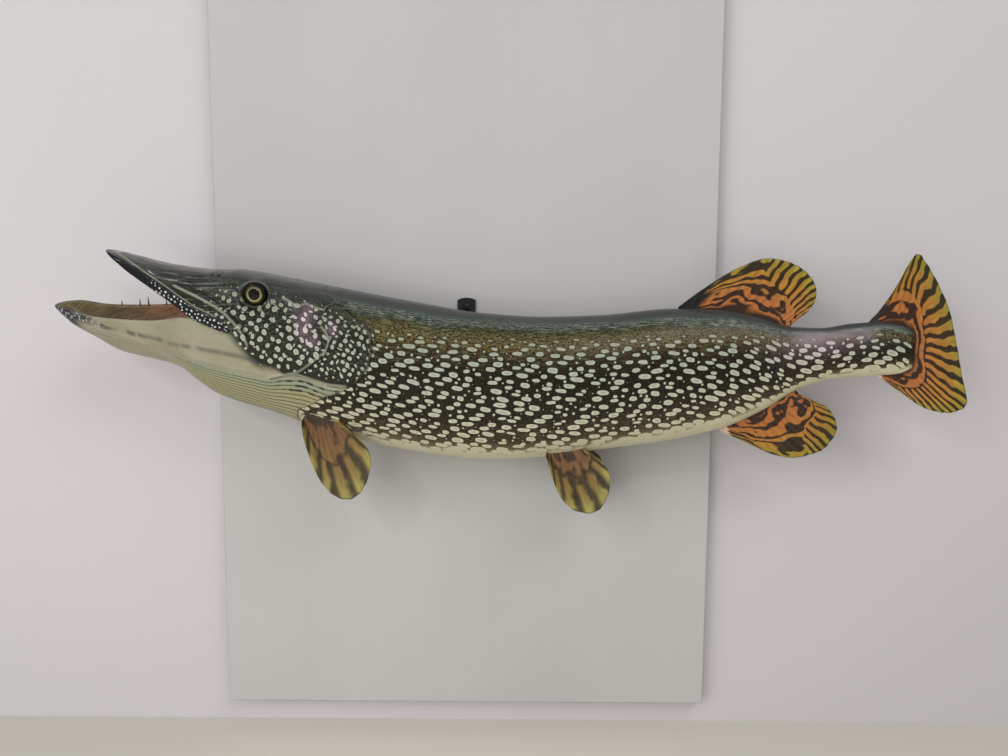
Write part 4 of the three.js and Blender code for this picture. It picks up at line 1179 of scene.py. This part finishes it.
# %% What the layers share
def fish_places(wires, given):
    """The map in millimetres, plain (flat) and bent (mm), a ragged girth, and masks of zones."""
    flat = wires.stretch(given["Flank"], (100, 100, 0))
    bend = wires.noise(flat, (0.11, 0.16, 1), output=1)
    drift = wires.noise(flat, (0.018, 0.05, 1))
    fray = wires.noise(flat, (0.3, 0.5, 1))
    girth = wires.scaled(wires.less(drift, 0.5), 0.06, given["Girth"])
    girth = wires.scaled(wires.less(fray, 0.5), 0.03, girth)
    blend = wires.between(wires.fade(girth, 0.3, 0.18), 0.6, 26.0)
    on_head = wires.fade(given["Gill gap"], blend, wires.times(blend, -1.0))
    return SimpleNamespace(
        given=given, flat=flat, mm=wires.stretch(bend, (3.0, 2.0, 0), flat), x=wires.split(flat)[0],
        drift=drift, girth=girth, on_head=on_head, off_head=wires.less(1.0, on_head),
        bronze=wires.times(wires.fade(girth, 0.12, 0.2), wires.fade(girth, 0.46, 0.32)),
        plain_back=wires.fade(girth, wires.between(on_head, 0.2, 0.32),
                              wires.between(on_head, 0.08, 0.2)),
        grain=wires.noise(flat, (0.9, 1.1, 1)),
        on_bone=wires.fade(given["Maxilla"], -0.5, 0.3),
        dark_line=wires.fade(given["Dark line"], 1.5, 0.4))


# %% First layer: bands of colour
def bands_layer(wires, fish):
    """Bands from back to belly, scribbled dark on the bronze and streaked along the back."""
    girth, on_head = fish.girth, fish.on_head
    paint = wires.mix(on_head, wires.ramp(girth, BODY_BANDS), wires.ramp(girth, HEAD_BANDS))
    scribble = wires.fade(wires.noise(fish.flat, (0.34, 0.5, 1), 2.5, 0.7), 0.44, 0.56)
    strength = wires.times(wires.between(fish.bronze, 0.8, 1.0), wires.fade(girth, 0.1, 0.17),
                           wires.fade(girth, 0.82, 0.72), wires.between(on_head, 1.0, 0.2))
    paint = wires.shade(paint, wires.scaled(wires.scaled(scribble, 1.75, -0.72), strength, 1.0))
    streaks = wires.less(wires.noise(fish.flat, (0.03, 0.45, 1), 2.5, 0.6), 0.5)
    streaks = wires.times(streaks, fish.plain_back)
    return wires.shade(paint, wires.scaled(streaks, wires.between(on_head, 1.0, 3.2), 1.0))


# %% Flecks and streaks, each in its own zone
def flecks_layer(wires, fish, paint):
    """Teal dashes behind the temple, flecks on flank, snout and cheek, and a painted lilac highlight on
    the tail's narrow root.
    """
    flat, mm, x, girth, on_head = fish.flat, fish.mm, fish.x, fish.girth, fish.on_head
    teal = wires.times(wires.fade(girth, 0.125, 0.15), wires.fade(girth, 0.205, 0.18),
                       wires.fade(x, -142, -118))
    black_zone = wires.times(wires.fade(girth, 0.28, 0.36), wires.fade(girth, 0.78, 0.7),
                             fish.off_head)
    snout = wires.times(on_head, wires.fade(x, -232, -262), wires.fade(girth, 0.62, 0.5))
    cheek_top = wires.times(on_head, wires.fade(x, -290, -250), wires.fade(girth, 0.12, 0.2),
                            wires.fade(girth, 0.6, 0.4))
    dashes = wires.noise(flat, (0.1, 0.85, 1), 3.5, 0.7)
    olive = wires.noise(flat, (0.07, 0.3, 1), 3.0)
    speckle = wires.noise(flat, (0.55, 0.8, 1), 2.0, 0.6, (5, 9, 0))
    combed = wires.noise(mm, (0.035, 0.42, 1), 3.0, 0.6)
    flecks = wires.noise(mm, (0.3, 0.42, 1), 2.5, 0.6, (11, 3, 0))
    for pattern, low, high, zone, strength, tint in (
            (dashes, 0.47, 0.62, teal, 0.7, "#8c958a"),
            (olive, 0.5, 0.7, wires.times(fish.bronze, fish.off_head), 0.5, "#6f7650"),
            (speckle, 0.52, 0.62, black_zone, 0.55, "#4d3d22"),
            (combed, 0.54, 0.7, snout, 0.7, "#8c8d84"),
            (flecks, 0.53, 0.64, cheek_top, 0.6, "#566457")):
        marks = wires.times(wires.fade(pattern, low, high), zone, strength)
        paint = wires.mix(marks, paint, tint)
    # A painted lilac highlight on the upper flank of the narrow root of the tail.
    stalk_highlight = wires.times(wires.fade(x, 350, 385), wires.fade(x, 462, 435),
                        wires.fade(girth, 0.1, 0.18), wires.fade(girth, 0.4, 0.27),
                        wires.fade(fish.drift, 0.25, 0.5))
    return wires.mix(wires.times(stalk_highlight, 0.75), paint, "#8d7f86")


def belly_lines_layer(wires, fish, paint):
    """Wavy dark lines where the flank turns into the belly."""
    wave = wires.noise(fish.mm, (0.06, 0.3, 1))
    line = wires.fade(wires.maths("ABSOLUTE", wires.less(wave, 0.5)), 0.05, 0.012)
    low_flank = wires.times(wires.fade(fish.girth, 0.64, 0.72), wires.fade(fish.girth, 0.88, 0.82))
    return wires.mix(wires.times(line, low_flank, 0.6), paint, "#574c38")


# %% Where the pale spots lie
DOT_SHIFT = (31, 17, 0)
LARGEST_DOT = 1.5
DOT_CLEARANCE = 1.3


def body_spots(wires, fish):
    """Ovals of the flank, small above and running together at the belly, with dots in the gaps."""
    lower = wires.fade(fish.girth, 0.24, 0.4)
    belly = wires.fade(fish.girth, 0.72, 0.84)
    sizes = {"cell_length": 19.4, "cell_height": 6.7, "turn": 0.24,
             "small": wires.between(lower, 0.9, 1.5),
             "large": wires.scaled(belly, 1.2, wires.between(lower, 1.6, 3.4)),
             "shortest": wires.between(lower, 0.55, 0.5), "gap": wires.between(belly, 0.5, -1.0)}
    ovals = spots(wires, fish.mm, **sizes)
    dots = spots(wires, fish.mm, DOT_SHIFT, cell_length=9.0, cell_height=7.0)
    around = spots(wires, dots["Middle"], [-step for step in DOT_SHIFT], **sizes)
    room = wires.maths("MINIMUM", wires.less(-DOT_CLEARANCE, around["Depth"]), LARGEST_DOT)
    dots_depth = wires.less(wires.less(room, dots["Away"]), wires.times(belly, 2.0))
    depth = wires.larger(ovals["Depth"], dots_depth)
    edge_fade = wires.scaled(wires.fade(fish.girth, 0.2, 0.27), 3.0, -3.0)
    merging = wires.times(wires.fade(fish.girth, 0.77, 0.88), 1.9)
    return wires.maths("ADD", wires.maths("ADD", depth, edge_fade), merging)


def head_spots(wires, fish):
    """Rounder spots of cheek and gill cover, some joined by bars, and fine dots on the jaw bone."""
    given, mm, x = fish.given, fish.mm, fish.x
    on_cover = wires.fade(given["Cover"], -0.2, 0.2)
    cell = wires.between(on_cover, 9.0, 7.0)
    rounds = spots(wires, mm, (7, 3, 0), cell_length=cell, cell_height=cell, turn=3.1, small=0.9,
                   large=wires.between(on_cover, 3.3, 2.5), shortest=0.55, gap=0.9)
    bars = spots(wires, mm, (13, 29, 0), cell_length=15.0, cell_height=14.0, turn=3.1,
                 small=1.0, large=1.2, shortest=3.6, gap=1.0)
    dots = spots(wires, mm, cell_length=4.6, cell_height=4.2, turn=3.0, small=0.5, large=1.2,
                 shortest=0.7, gap=0.9)
    merged = wires.maths("SMOOTH_MAX", rounds["Depth"], wires.less(bars["Depth"], 0.2), 0.6)
    zone = wires.times(wires.fade(given["Girth"], 0.16, 0.24), wires.fade(x, -300, -235),
                       wires.fade(given["Pale rise"], 2, -14))
    depth = wires.scaled(wires.less(zone, 1.0), 3.0, merged)
    dotted = wires.scaled(wires.fade(x, -352, -322), 3.0, -3.0)
    dotted = wires.maths("ADD", dotted, dots["Depth"])
    return wires.between(wires.fade(given["Maxilla"], -0.3, 0.3), depth, dotted), dots["Depth"]


# %% The pale spots, and the black bone and painted pink highlight under them
def spots_layer(wires, fish, paint):
    """Pale spots with a dark outline and a mottled middle, whiter on the jaw bone, tinted by a painted
    pink highlight.
    """
    given, girth = fish.given, fish.girth
    head_depth, fish.jaw_dots = head_spots(wires, fish)
    depth = wires.between(fish.on_head, body_spots(wires, fish), head_depth)
    depth = wires.scaled(wires.fade(girth, 0.94, 0.82), 2.5, wires.less(depth, 2.5))
    fish.spot = wires.fade(depth, -0.25, 0.4)
    above_belly = wires.fade(girth, 0.84, 0.74)
    outline = wires.times(wires.fade(depth, -1.6, -0.4), above_belly)
    paint = wires.shade(paint, wires.scaled(outline, -0.35, 1.0))
    mottle = wires.scaled(wires.times(wires.fade(depth, 0.9, 2.0), fish.grain), -0.6, 0.16)
    mottle = wires.times(mottle, above_belly)
    spot_paint = wires.ramp(given["Girth"], SPOT_COLOURS)
    spot_paint = wires.shade(spot_paint, wires.maths("ADD", mottle, 1.0))
    paint = wires.mix(fish.on_bone, paint, "#131517")
    spot_paint = wires.mix(fish.on_bone, spot_paint, "#b9c0b9")
    # A painted pink highlight tints the paint and the spots on the gill cover and the tail's narrow
    # root.
    sheen = wires.times(given["Sheen"], wires.fade(fish.grain, 0.3, 0.6))
    paint = wires.mix(wires.times(sheen, 0.8), paint, "#77636b")
    spot_paint = wires.mix(wires.times(given["Sheen"], 0.85), spot_paint, "#cfb9c0")
    return wires.mix(fish.spot, paint, spot_paint)


# %% Cream jaw and the rays of the throat
def cream_layer(wires, fish, paint):
    """Cream of the lower jaw and throat, cloudy, with a soft ragged edge under the cheek."""
    given, x = fish.given, fish.x
    cloud = wires.noise(fish.flat, (0.03, 0.05, 1), 3.0)
    cream = wires.mix(wires.fade(cloud, 0.35, 0.65), "#89836a", "#9b947b")
    above = wires.times(wires.fade(given["Pale rise"], 60, 6), wires.fade(x, -215, -240))
    cream = wires.mix(wires.times(above, 0.5), cream, "#8c8d79")
    cheek = wires.fade(x, -186, -200)
    ragged = wires.times(wires.less(cloud, 0.5), cheek)
    rise = wires.scaled(ragged, 16.0, given["Pale rise"])
    pale = wires.fade(rise, wires.between(cheek, -1.2, -9.0), wires.between(cheek, 0.6, 6.0))
    pale = wires.times(pale, wires.less(1.0, fish.on_bone), fish.on_head)
    return wires.mix(pale, paint, cream)


def throat_layer(wires, fish, paint):
    """Branchiostegal rays with painted shade in the grooves between them, darker in broken dashes
    between the upper ones.
    """
    fan, row = fish.given["Fan"], fish.given["Fan row"]
    part = wires.maths("ABSOLUTE", wires.less(wires.maths("FRACT", row), 0.5))
    rays = wires.mix(wires.fade(row, 1.0, 4.0), "#808b76", "#98926c")
    paint = wires.mix(wires.times(fan, 0.8), paint, rays)
    # Painted shade in the grooves between the rays.
    gaps = wires.times(wires.fade(part, 0.29, 0.46), fan)
    paint = wires.mix(wires.times(gaps, 0.85), paint, "#45412c")
    # Darker painted shade in broken dashes in the grooves of the upper rays, under the gill cover.
    row_place = wires.combined(fish.x, wires.maths("ROUND", row), 0.0)
    broken = wires.fade(wires.noise(row_place, (0.13, 3.7, 0), 1.0), 0.46, 0.56)
    dashes = wires.times(broken, fan, wires.fade(fish.x, -212, -178), wires.fade(row, 3.7, 3.2),
                         wires.fade(part, 0.16, 0.34))
    return wires.mix(wires.times(dashes, 0.9), paint, "#20231b")


# %% Lines of the head
def bone_lines_layer(wires, fish, paint):
    """Painted shade in the grooves of bone edges, folds and nostrils, pale lines, the rim of the gill
    opening, and painted shade in its slit.
    """
    gap, girth = fish.given["Gill gap"], fish.girth
    # Painted shade along the grooves beside the bone edges and in the nostrils.
    paint = wires.shade(paint, wires.scaled(fish.dark_line, -0.62, 1.0))
    pale_line = wires.fade(fish.given["Pale line"], 1.5, 0.4)
    paint = wires.mix(wires.times(pale_line, 0.55), paint, "#9a9c88")
    rim = wires.times(wires.fade(gap, -3.2, -2.0), wires.fade(gap, 0.2, -0.8),
                      wires.fade(fish.given["Pale rise"], 0, -10), wires.fade(girth, 0.2, 0.3))
    paint = wires.mix(wires.times(rim, 0.7), paint, "#3d3024")
    # Painted shade in the slit of the gill opening.
    slit_shade = wires.times(wires.fade(gap, -0.8, 0.4), wires.fade(gap, 2.2, 0.8),
                       wires.fade(girth, 0.2, 0.28))
    return wires.shade(paint, wires.scaled(slit_shade, -0.7, 1.0))


def jaw_line_layer(wires, fish, paint):
    """The broken dark line of the lower jaw, widest and dotted at the chin."""
    x, line = fish.x, fish.given["Blotch line"]
    chin = wires.fade(x, -372, -425)
    width = wires.scaled(chin, 6.5, 4.6)
    breaks = wires.fade(wires.noise(fish.flat, (0.085, 0.04, 1), 1.5), 0.36, 0.55)
    blotch = wires.fade(line, width, wires.times(width, 0.1))
    blotch = wires.times(blotch, wires.larger(breaks, chin))
    dark = wires.larger(blotch, wires.fade(x, -408, -424))
    dark = wires.times(dark, wires.between(wires.fade(x, -400, -330), 0.97, 0.62))
    paint = wires.mix(dark, paint, wires.mix(wires.fade(x, -330, -400), "#4f4d4b", "#1d2028"))
    near_line = wires.larger(wires.fade(line, 6, 3), wires.fade(x, -424, -432))
    dots = wires.times(wires.fade(fish.jaw_dots, -0.1, 0.5), wires.fade(x, -376, -398), near_line)
    return wires.mix(dots, paint, "#b4b6b8")


# %% Mouth and eye socket
def mouth_layer(wires, fish, paint):
    """The lining of the mouth, with long folds."""
    folds = wires.noise(fish.flat, (0.05, 0.35, 1), 3.0, 0.6)
    depth_in = wires.scaled(fish.x, 1 / MOUTH_LENGTH, -CHIN_X / MOUTH_LENGTH)
    mouth = wires.ramp(depth_in, MOUTH_COLOURS)
    mouth = wires.shade(mouth, wires.scaled(folds, 2.6, -0.25))
    return wires.mix(wires.fade(fish.given["Inside"], 0.35, 0.75), paint, mouth)


def socket_layer(wires, fish, paint):
    """Black skin round the eye, in a faint pale ring."""
    gap = fish.given["Eye gap"]
    ring = wires.times(wires.fade(gap, 0.8, 1.6), wires.fade(gap, 3.4, 2.2))
    paint = wires.mix(wires.times(ring, 0.2), paint, "#8b8a80")
    return wires.mix(wires.fade(gap, 1.4, 0.2), paint, "#0a0a09")


# %% All the layers in one group
LAYERS = (flecks_layer, belly_lines_layer, spots_layer, cream_layer, throat_layer,
          bone_lines_layer, jaw_line_layer, mouth_layer, socket_layer)


def pike_paint_group():
    inputs = {"Flank": "vector", **{as_socket(fact): "number" for fact in SKIN_FACTS}}
    wires, given, result = new_group("pike_paint", inputs, PAINT_OUTPUTS)
    fish = fish_places(wires, given)
    paint = bands_layer(wires, fish)
    for layer in LAYERS:
        paint = layer(wires, fish, paint)
    roughness = wires.scaled(fish.plain_back, -0.06, wires.scaled(fish.grain, 0.16, 0.3))
    height = wires.scaled(fish.spot, 0.5, wires.times(fish.grain, 0.6))
    wires.plug(result["Colour"], paint)
    wires.plug(result["Roughness"], roughness)
    wires.plug(result["Height"], wires.scaled(fish.dark_line, -0.8, height))
    return wires.tree


pike_paint = pike_paint_group()
print("the fish's paint has", len(LAYERS) + 1, "layers and", len(pike_paint.nodes), "nodes")


# %% The painted skin and scales
def painted_skin(name, bump_strength, coat):
    material, wires, shader = new_material(name, specular_ior_level=0.2, coat_weight=coat,
                                           coat_roughness=0.14)
    facts = {fact: wires.node("Attribute", attribute_name=fact).outputs["Fac"] for fact in SKIN_FACTS}
    flank = wires.node("UVMap", uv_map="Flank").outputs[0]
    paint = place_group(wires, pike_paint, flank=flank, **facts)
    add_paint(wires, shader, paint["Colour"], paint["Roughness"])
    add_bump(wires, shader, paint["Height"], bump_strength, 0.0005)
    return material


dress(skin, painted_skin("painted_pike_skin", 0.35, 0.25))
scale_paint = painted_skin("painted_pike_scales", 0.15, 0.1)
for coat in (scales_near, scales_far):
    dress(coat, scale_paint)

# %% [markdown]
# ### Fin paint
# The rays run out from the root, so a fin's map is laid with one axis across the rays and the
# other along them. Black bars wander across the rays near the root and turn to run along them at
# the edge, where orange fades to yellow. The front of the dorsal and the anal fin keeps its bars
# across the rays for longer.

# %% Fin paint
FIN_NUMBERS = ("Stripes", "Waves", "Softness", "Seed", "Dark root", "Wander", "Turn at",
               "Plain front", "Ray", "Front width", "Rear width")
FIN_TINTS = ("Inner", "Middle", "Edge", "Dark", "Front", "Rear")
FULL_TURN = 2 * math.pi


def fin_bars(wires, given, across, out, wander, fringe):
    """1 on the black bars: they cross the rays near the root and run along them at the edge."""
    seed = wires.combined(0.0, 0.0, given["Seed"])
    crinkle = wires.less(wires.noise(given["Map"], (13, 7, 1), 1.0, shift=seed), 0.5)
    turn = wires.less(wires.scaled(wander, 0.6, out), given["Turn at"])
    turn = wires.less(turn, wires.times(wires.fade(across, 0.58, 0.22), given["Plain front"]))
    swing = wires.scaled(wander, given["Wander"], wires.times(crinkle, 0.9))
    along = wires.scaled(across, given["Stripes"], wires.times(swing, 0.3))
    along = wires.maths("SINE", wires.times(along, FULL_TURN))
    over = wires.scaled(out, given["Waves"], swing)
    over = wires.maths("SINE", wires.times(over, FULL_TURN))
    bars = wires.between(wires.fade(turn, -0.05, 0.05), over, wires.scaled(crinkle, 1.6, along))
    bars = wires.scaled(wires.less(fringe, 0.5), 1.1, bars)
    black = wires.fade(bars, wires.less(0.18, given["Softness"]),
                       wires.maths("ADD", 0.18, given["Softness"]))
    root = wires.fade(wires.scaled(wander, 0.35, out), given["Dark root"],
                      wires.times(given["Dark root"], 0.45))
    return wires.larger(black, root)


def fin_paint_group():
    inputs = {"Map": "vector", **{key: "number" for key in FIN_NUMBERS},
              **{key: "colour" for key in FIN_TINTS}}
    wires, given, result = new_group("fin_paint", inputs, PAINT_OUTPUTS)
    across, out, _ = wires.split(given["Map"])
    seed = wires.combined(0.0, 0.0, given["Seed"])
    wander = wires.less(wires.noise(given["Map"], (4.5, 3.2, 1), 1.5, shift=seed), 0.5)
    fringe = wires.noise(given["Map"], (70, 5, 1), shift=seed)
    black = fin_bars(wires, given, across, out, wander, fringe)
    paint = wires.mix(wires.fade(out, 0.3, 0.72), given["Inner"], given["Middle"])
    paint = wires.mix(wires.fade(out, 0.68, 0.98), paint, given["Edge"])
    paint = wires.shade(paint, wires.scaled(fringe, 0.9, 0.55))
    paint = wires.mix(wires.times(black, 0.93), paint, given["Dark"])
    front = wires.fade(wires.scaled(wander, 0.12, across), given["Front width"],
                       wires.times(given["Front width"], 0.7))
    rear = wires.fade(wires.less(1.0, across), given["Rear width"],
                      wires.times(given["Rear width"], 0.5))
    paint = wires.mix(front, paint, given["Front"])
    paint = wires.mix(rear, paint, given["Rear"])
    wires.plug(result["Colour"], wires.shade(paint, wires.scaled(given["Ray"], 0.35, 1.0)))
    wires.plug(result["Roughness"], wires.scaled(fringe, 0.2, 0.26))
    wires.plug(result["Height"], wires.scaled(fringe, 0.7, wires.times(black, 0.1)))
    return wires.tree


fin_paint = fin_paint_group()


def painted_fin(name, **values):
    material, wires, shader = new_material(name, specular_ior_level=0.35, coat_weight=0.25,
                                           coat_roughness=0.15)
    fin_map = wires.node("UVMap", uv_map="Fin").outputs[0]
    ray = wires.node("Attribute", attribute_name="ray").outputs["Fac"]
    paint = place_group(wires, fin_paint, map=fin_map, ray=ray, **values)
    add_paint(wires, shader, paint["Colour"], paint["Roughness"])
    add_bump(wires, shader, paint["Height"], 0.5, 0.0006)
    return material


# %% Each fin's own paint
ORANGE = {"inner": "#a0602d", "middle": "#a06f27", "edge": "#8c7925", "dark": "#0c0a08",
          "softness": 0.3, "wander": 3.6}
OLIVE = {"inner": "#6b4b2b", "middle": "#786230", "edge": "#8f8645", "dark": "#2c2319",
         "softness": 0.9, "wander": 1.6, "stripes": 8.0, "turn_at": 0.56, "plain_front": 0.0,
         "rear": "#8b8540", "rear_width": 0.03}
FIN_PAINTS = {
    "dorsal_fin": dict(ORANGE, stripes=20.0, waves=4.6, seed=3.0, dark_root=0.2, turn_at=0.48,
                       plain_front=0.9, front="#131110", front_width=0.2,
                       rear="#1b1712", rear_width=0.05),
    "anal_fin": dict(ORANGE, stripes=20.0, waves=4.4, seed=9.0, dark_root=0.12, turn_at=0.6,
                     plain_front=0.8, front="#c4ab98", front_width=0.07,
                     rear="#1b1712", rear_width=0.06),
    "tail_fin": dict(ORANGE, stripes=25.0, waves=5.0, seed=17.0, dark_root=0.24, turn_at=0.45,
                     plain_front=0.0, front="#2a272d", front_width=0.08,
                     rear="#c7ab98", rear_width=0.05),
    "pectoral_fin": dict(OLIVE, waves=2.2, seed=5.0, dark_root=0.22, front="#1f1a14",
                         front_width=0.06),
    "pelvic_fin": dict(OLIVE, waves=2.4, seed=12.0, dark_root=0.16, front="#3b3023",
                       front_width=0.04),
}
for kind, values in FIN_PAINTS.items():
    fin_finish = painted_fin(kind + "_paint", **values)
    for name, piece in fins.items():
        if name.startswith(kind):
            dress(piece, fin_finish)
print("fin paints:", ", ".join(FIN_PAINTS))

# %% [markdown]
# ### Glass eyes, teeth and tongue
# The iris is gold flecked with olive and darkens to its rim; the pupil is black. The dome is a
# dark surface with a low alpha, so the iris shows through it while its gloss still catches the
# lights, and the export can keep it as it is.

# %% Eyes, teeth and tongue
IRIS_RINGS = [(0.0, "#020202"), (0.51, "#020202"), (0.54, "#d9d3a0"), (0.62, "#aaa36a"),
              (0.7, "#77702f"), (0.77, "#2a2112"), (0.86, "#2c1d14"), (1.0, "#070605")]


def iris_material(middle_height):
    """Rings painted from the black pupil out, with painted light brightening the lower half and painted
    shade darkening the upper.
    """
    material, wires, shader = new_material("painted_iris", specular_ior_level=0.1)
    away = wires.node("Attribute", attribute_name="iris").outputs["Fac"]
    place = object_place(wires)
    height = wires.split(place)[2]
    flecks = wires.noise(place, (1400, 1400, 1400), 3.0, 0.7)
    ring = wires.scaled(wires.less(flecks, 0.5), 0.1, away)
    # Painted light and shade: the lower half of the iris brighter, the upper half darker.
    lower = wires.fade(height, middle_height + 0.004, middle_height - 0.005)
    flecks_and_painted_light = wires.times(wires.scaled(flecks, 0.5, 0.75), wires.between(lower, 0.6, 1.25))
    paint = wires.shade(wires.ramp(ring, IRIS_RINGS), flecks_and_painted_light)
    add_paint(wires, shader, paint, wires.scaled(flecks, 0.2, 0.25))
    return material


def dome_material():
    return new_material("eye_glass", roughness=0.02, alpha=0.35, base_color=(0.02, 0.02, 0.02, 1))[0]


def tooth_material():
    material, wires, shader = new_material("tooth_enamel", coat_weight=0.4)
    stain = wires.noise(object_place(wires), (600, 600, 250), 3.0)
    paint = wires.mix(wires.fade(stain, 0.35, 0.65), "#3a2a1d", "#6b5439")
    add_paint(wires, shader, paint, wires.scaled(stain, 0.3, 0.3))
    return material


def tongue_material():
    material, wires, shader = new_material("tongue_paint", coat_weight=0.5, coat_roughness=0.2)
    place = object_place(wires)
    patch = wires.noise(place, (90, 90, 90), 4.0, 0.6)
    pimples = wires.noise(place, (900, 900, 900), 1.0)
    paint = wires.mix(wires.fade(patch, 0.35, 0.65), "#6d4a36", "#8c6a50")
    add_paint(wires, shader, paint, wires.scaled(patch, 0.3, 0.3))
    add_bump(wires, shader, pimples, 0.4, 0.0004)
    return material


iris, glass = iris_material(eye_frame(1)[0].z), dome_material()
for bowl, dome in eyes:
    dress(bowl, iris)
    dress(dome, glass)
dress(teeth, tooth_material())
dress(tongue, tongue_material())

# %% [markdown]
# ### Board, hanger and room
# The board is painted matt white with faint brush streaks down it and a few scuffs. Hanger and
# screws are blackened steel. The wall and floor are plain pale paint.


# %% Board, hanger and room finishes
def board_material():
    material, wires, shader = new_material("board_paint", specular_ior_level=0.3)
    place = object_place(wires)
    streaks = wires.noise(place, (260, 260, 3), 4.0, 0.6)
    cloud = wires.noise(place, (3, 3, 2), 3.0)
    scuffs = wires.fade(wires.noise(place, (60, 60, 140), 5.0, 0.7), 0.7, 0.76)
    paint = wires.mix(wires.fade(cloud, 0.3, 0.7), "#aeacaa", "#b4b2b0")
    paint = wires.shade(paint, wires.scaled(streaks, 0.05, 0.975))
    paint = wires.mix(wires.times(scuffs, 0.35), paint, "#8a8680")
    add_paint(wires, shader, paint, wires.scaled(streaks, 0.2, 0.5))
    add_bump(wires, shader, streaks, 0.12, 0.0006)
    return material


def blackened_steel():
    material, wires, shader = new_material("blackened_steel", coat_weight=0.2)
    place = object_place(wires)
    pits = wires.noise(place, (700, 700, 700), 4.0, 0.7)
    worn = wires.fade(wires.noise(place, (160, 160, 160), 3.0), 0.6, 0.72)
    paint = wires.mix(wires.times(worn, 0.5), "#0d0c0b", "#4a4038")
    add_paint(wires, shader, paint, wires.scaled(pits, 0.4, 0.3))
    wires.plug(shader.inputs["Metallic"], wires.times(worn, 0.7))
    add_bump(wires, shader, pits, 0.6, 0.0006)
    return material


def stage_finish(name, code, see_through_back=False):
    """Plain paint; a wall can be looked through from behind."""
    material, wires, shader = new_material(name, roughness=0.7, specular_ior_level=0.2)
    cloud = wires.noise(object_place(wires), (2, 2, 2))
    paint = wires.shade(colour(code)[:3], wires.scaled(cloud, 0.04, 0.98))
    wires.plug(shader.inputs["Base Color"], paint)
    if see_through_back:
        behind = wires.node("NewGeometry").outputs["Backfacing"]
        wires.plug(shader.inputs["Alpha"], wires.less(1.0, behind))
    return material


def dress_node(name, material):
    for slot in bpy.data.objects[name].material_slots:
        slot.material = material


dress_node("board", board_material())
steel = blackened_steel()
for name in ("hanger", "hanger_screw_1", "hanger_screw_2"):
    dress_node(name, steel)
print("materials:", sorted(material.name for material in bpy.data.materials if material.users))

# %% [markdown]
# ## Floor, wall, light and camera
# The board hangs on a pale wall over a pale floor. A soft key light from the upper right draws the
# shadows, and a wide fill light from the left opens them. A low strip lights the floor's edge, and
# one small light puts the sparkle on the eyes and the varnish. The wall can be looked through from
# behind, so the back of the mount can be seen too.

# %% Floor and wall
FLOOR_HEIGHT, WALL_GAP, STAGE_SIZE = -0.484, 0.002, 6.0
STAGE_ENDS = (-STAGE_SIZE, STAGE_SIZE)


def stage_sheet(name, corners, material):
    """A flat sheet through four corners."""
    deselect_all()
    bpy.ops.mesh.primitive_plane_add(size=1)
    sheet = bpy.context.object
    sheet.name = name
    for vertex, corner in zip(sheet.data.vertices, corners):
        vertex.co = corner
    sheet.data.materials.append(material)
    return sheet


stage_sheet("floor", [(x, y, FLOOR_HEIGHT) for y in STAGE_ENDS for x in STAGE_ENDS],
            stage_finish("pale_floor", "#ded9cd"))
wall = stage_sheet("wall", [(x, WALL_GAP, z) for z in (FLOOR_HEIGHT, STAGE_SIZE) for x in STAGE_ENDS],
                   stage_finish("pale_wall", "#c1bdbe", see_through_back=True))
wall.visible_diffuse = False
wall.visible_shadow = False


# %% Lights
def soft_light(name, place, aim, size, power, tint, in_gloss=True):
    deselect_all()
    bpy.ops.object.light_add(type="AREA", location=place)
    light = bpy.context.object
    light.name = name
    light.data.shape = "RECTANGLE"
    light.data.size, light.data.size_y = size
    light.data.energy = power
    light.data.color = tint
    light.visible_glossy = in_gloss
    light.rotation_euler = (Vector(aim) - Vector(place)).to_track_quat("-Z", "Y").to_euler()


soft_light("key_light", (0.9, -1.5, 1.5), (0, 0, 0), (1.6, 0.9), 19, (1, 0.99, 0.98))
soft_light("fill_light", (-1.2, -2.0, 0.3), (0, 0, -0.2), (2.2, 1.4), 31, (0.98, 0.98, 0.99), False)
soft_light("low_light", (0.1, -1.3, -0.3), (0.1, 0, -0.4), (1.8, 0.2), 1.8, (1, 0.99, 0.98), False)
soft_light("small_light", (-0.75, -1.4, 0.75), (-0.25, 0, 0.05), (0.12, 0.12), 2.4, (1, 0.98, 0.99))
world = bpy.data.worlds.new("studio")
bpy.context.scene.world = world
world.use_nodes = True
world.node_tree.nodes["Background"].inputs["Color"].default_value = (0.86, 0.87, 0.9, 1)
world.node_tree.nodes["Background"].inputs["Strength"].default_value = 0.34
bpy.context.scene.view_settings.view_transform = "Standard"

# %% Camera
CAMERA_PLACE = (0.0497, -0.9235, 0.0559)
CAMERA_YAW, CAMERA_PITCH, CAMERA_ROLL = (math.radians(angle) for angle in (-0.21, -5.8, 0.29))
CAMERA_LENS, CAMERA_SENSOR = 26.786, 36.0

forward = Vector((math.sin(CAMERA_YAW) * math.cos(CAMERA_PITCH),
                  math.cos(CAMERA_YAW) * math.cos(CAMERA_PITCH), math.sin(CAMERA_PITCH)))
level_right = Vector((math.cos(CAMERA_YAW), -math.sin(CAMERA_YAW), 0))
level_up = level_right.cross(forward)
right = level_right * math.cos(CAMERA_ROLL) + level_up * math.sin(CAMERA_ROLL)
up = level_up * math.cos(CAMERA_ROLL) - level_right * math.sin(CAMERA_ROLL)
deselect_all()
bpy.ops.object.camera_add(location=CAMERA_PLACE)
camera = bpy.context.object
camera.data.lens = CAMERA_LENS
camera.data.sensor_width = CAMERA_SENSOR
camera.data.clip_start = 0.01
camera.rotation_euler = Matrix((right, up, -forward)).transposed().to_euler()
bpy.context.scene.camera = camera
print("camera at", tuple(round(value, 3) for value in camera.location))
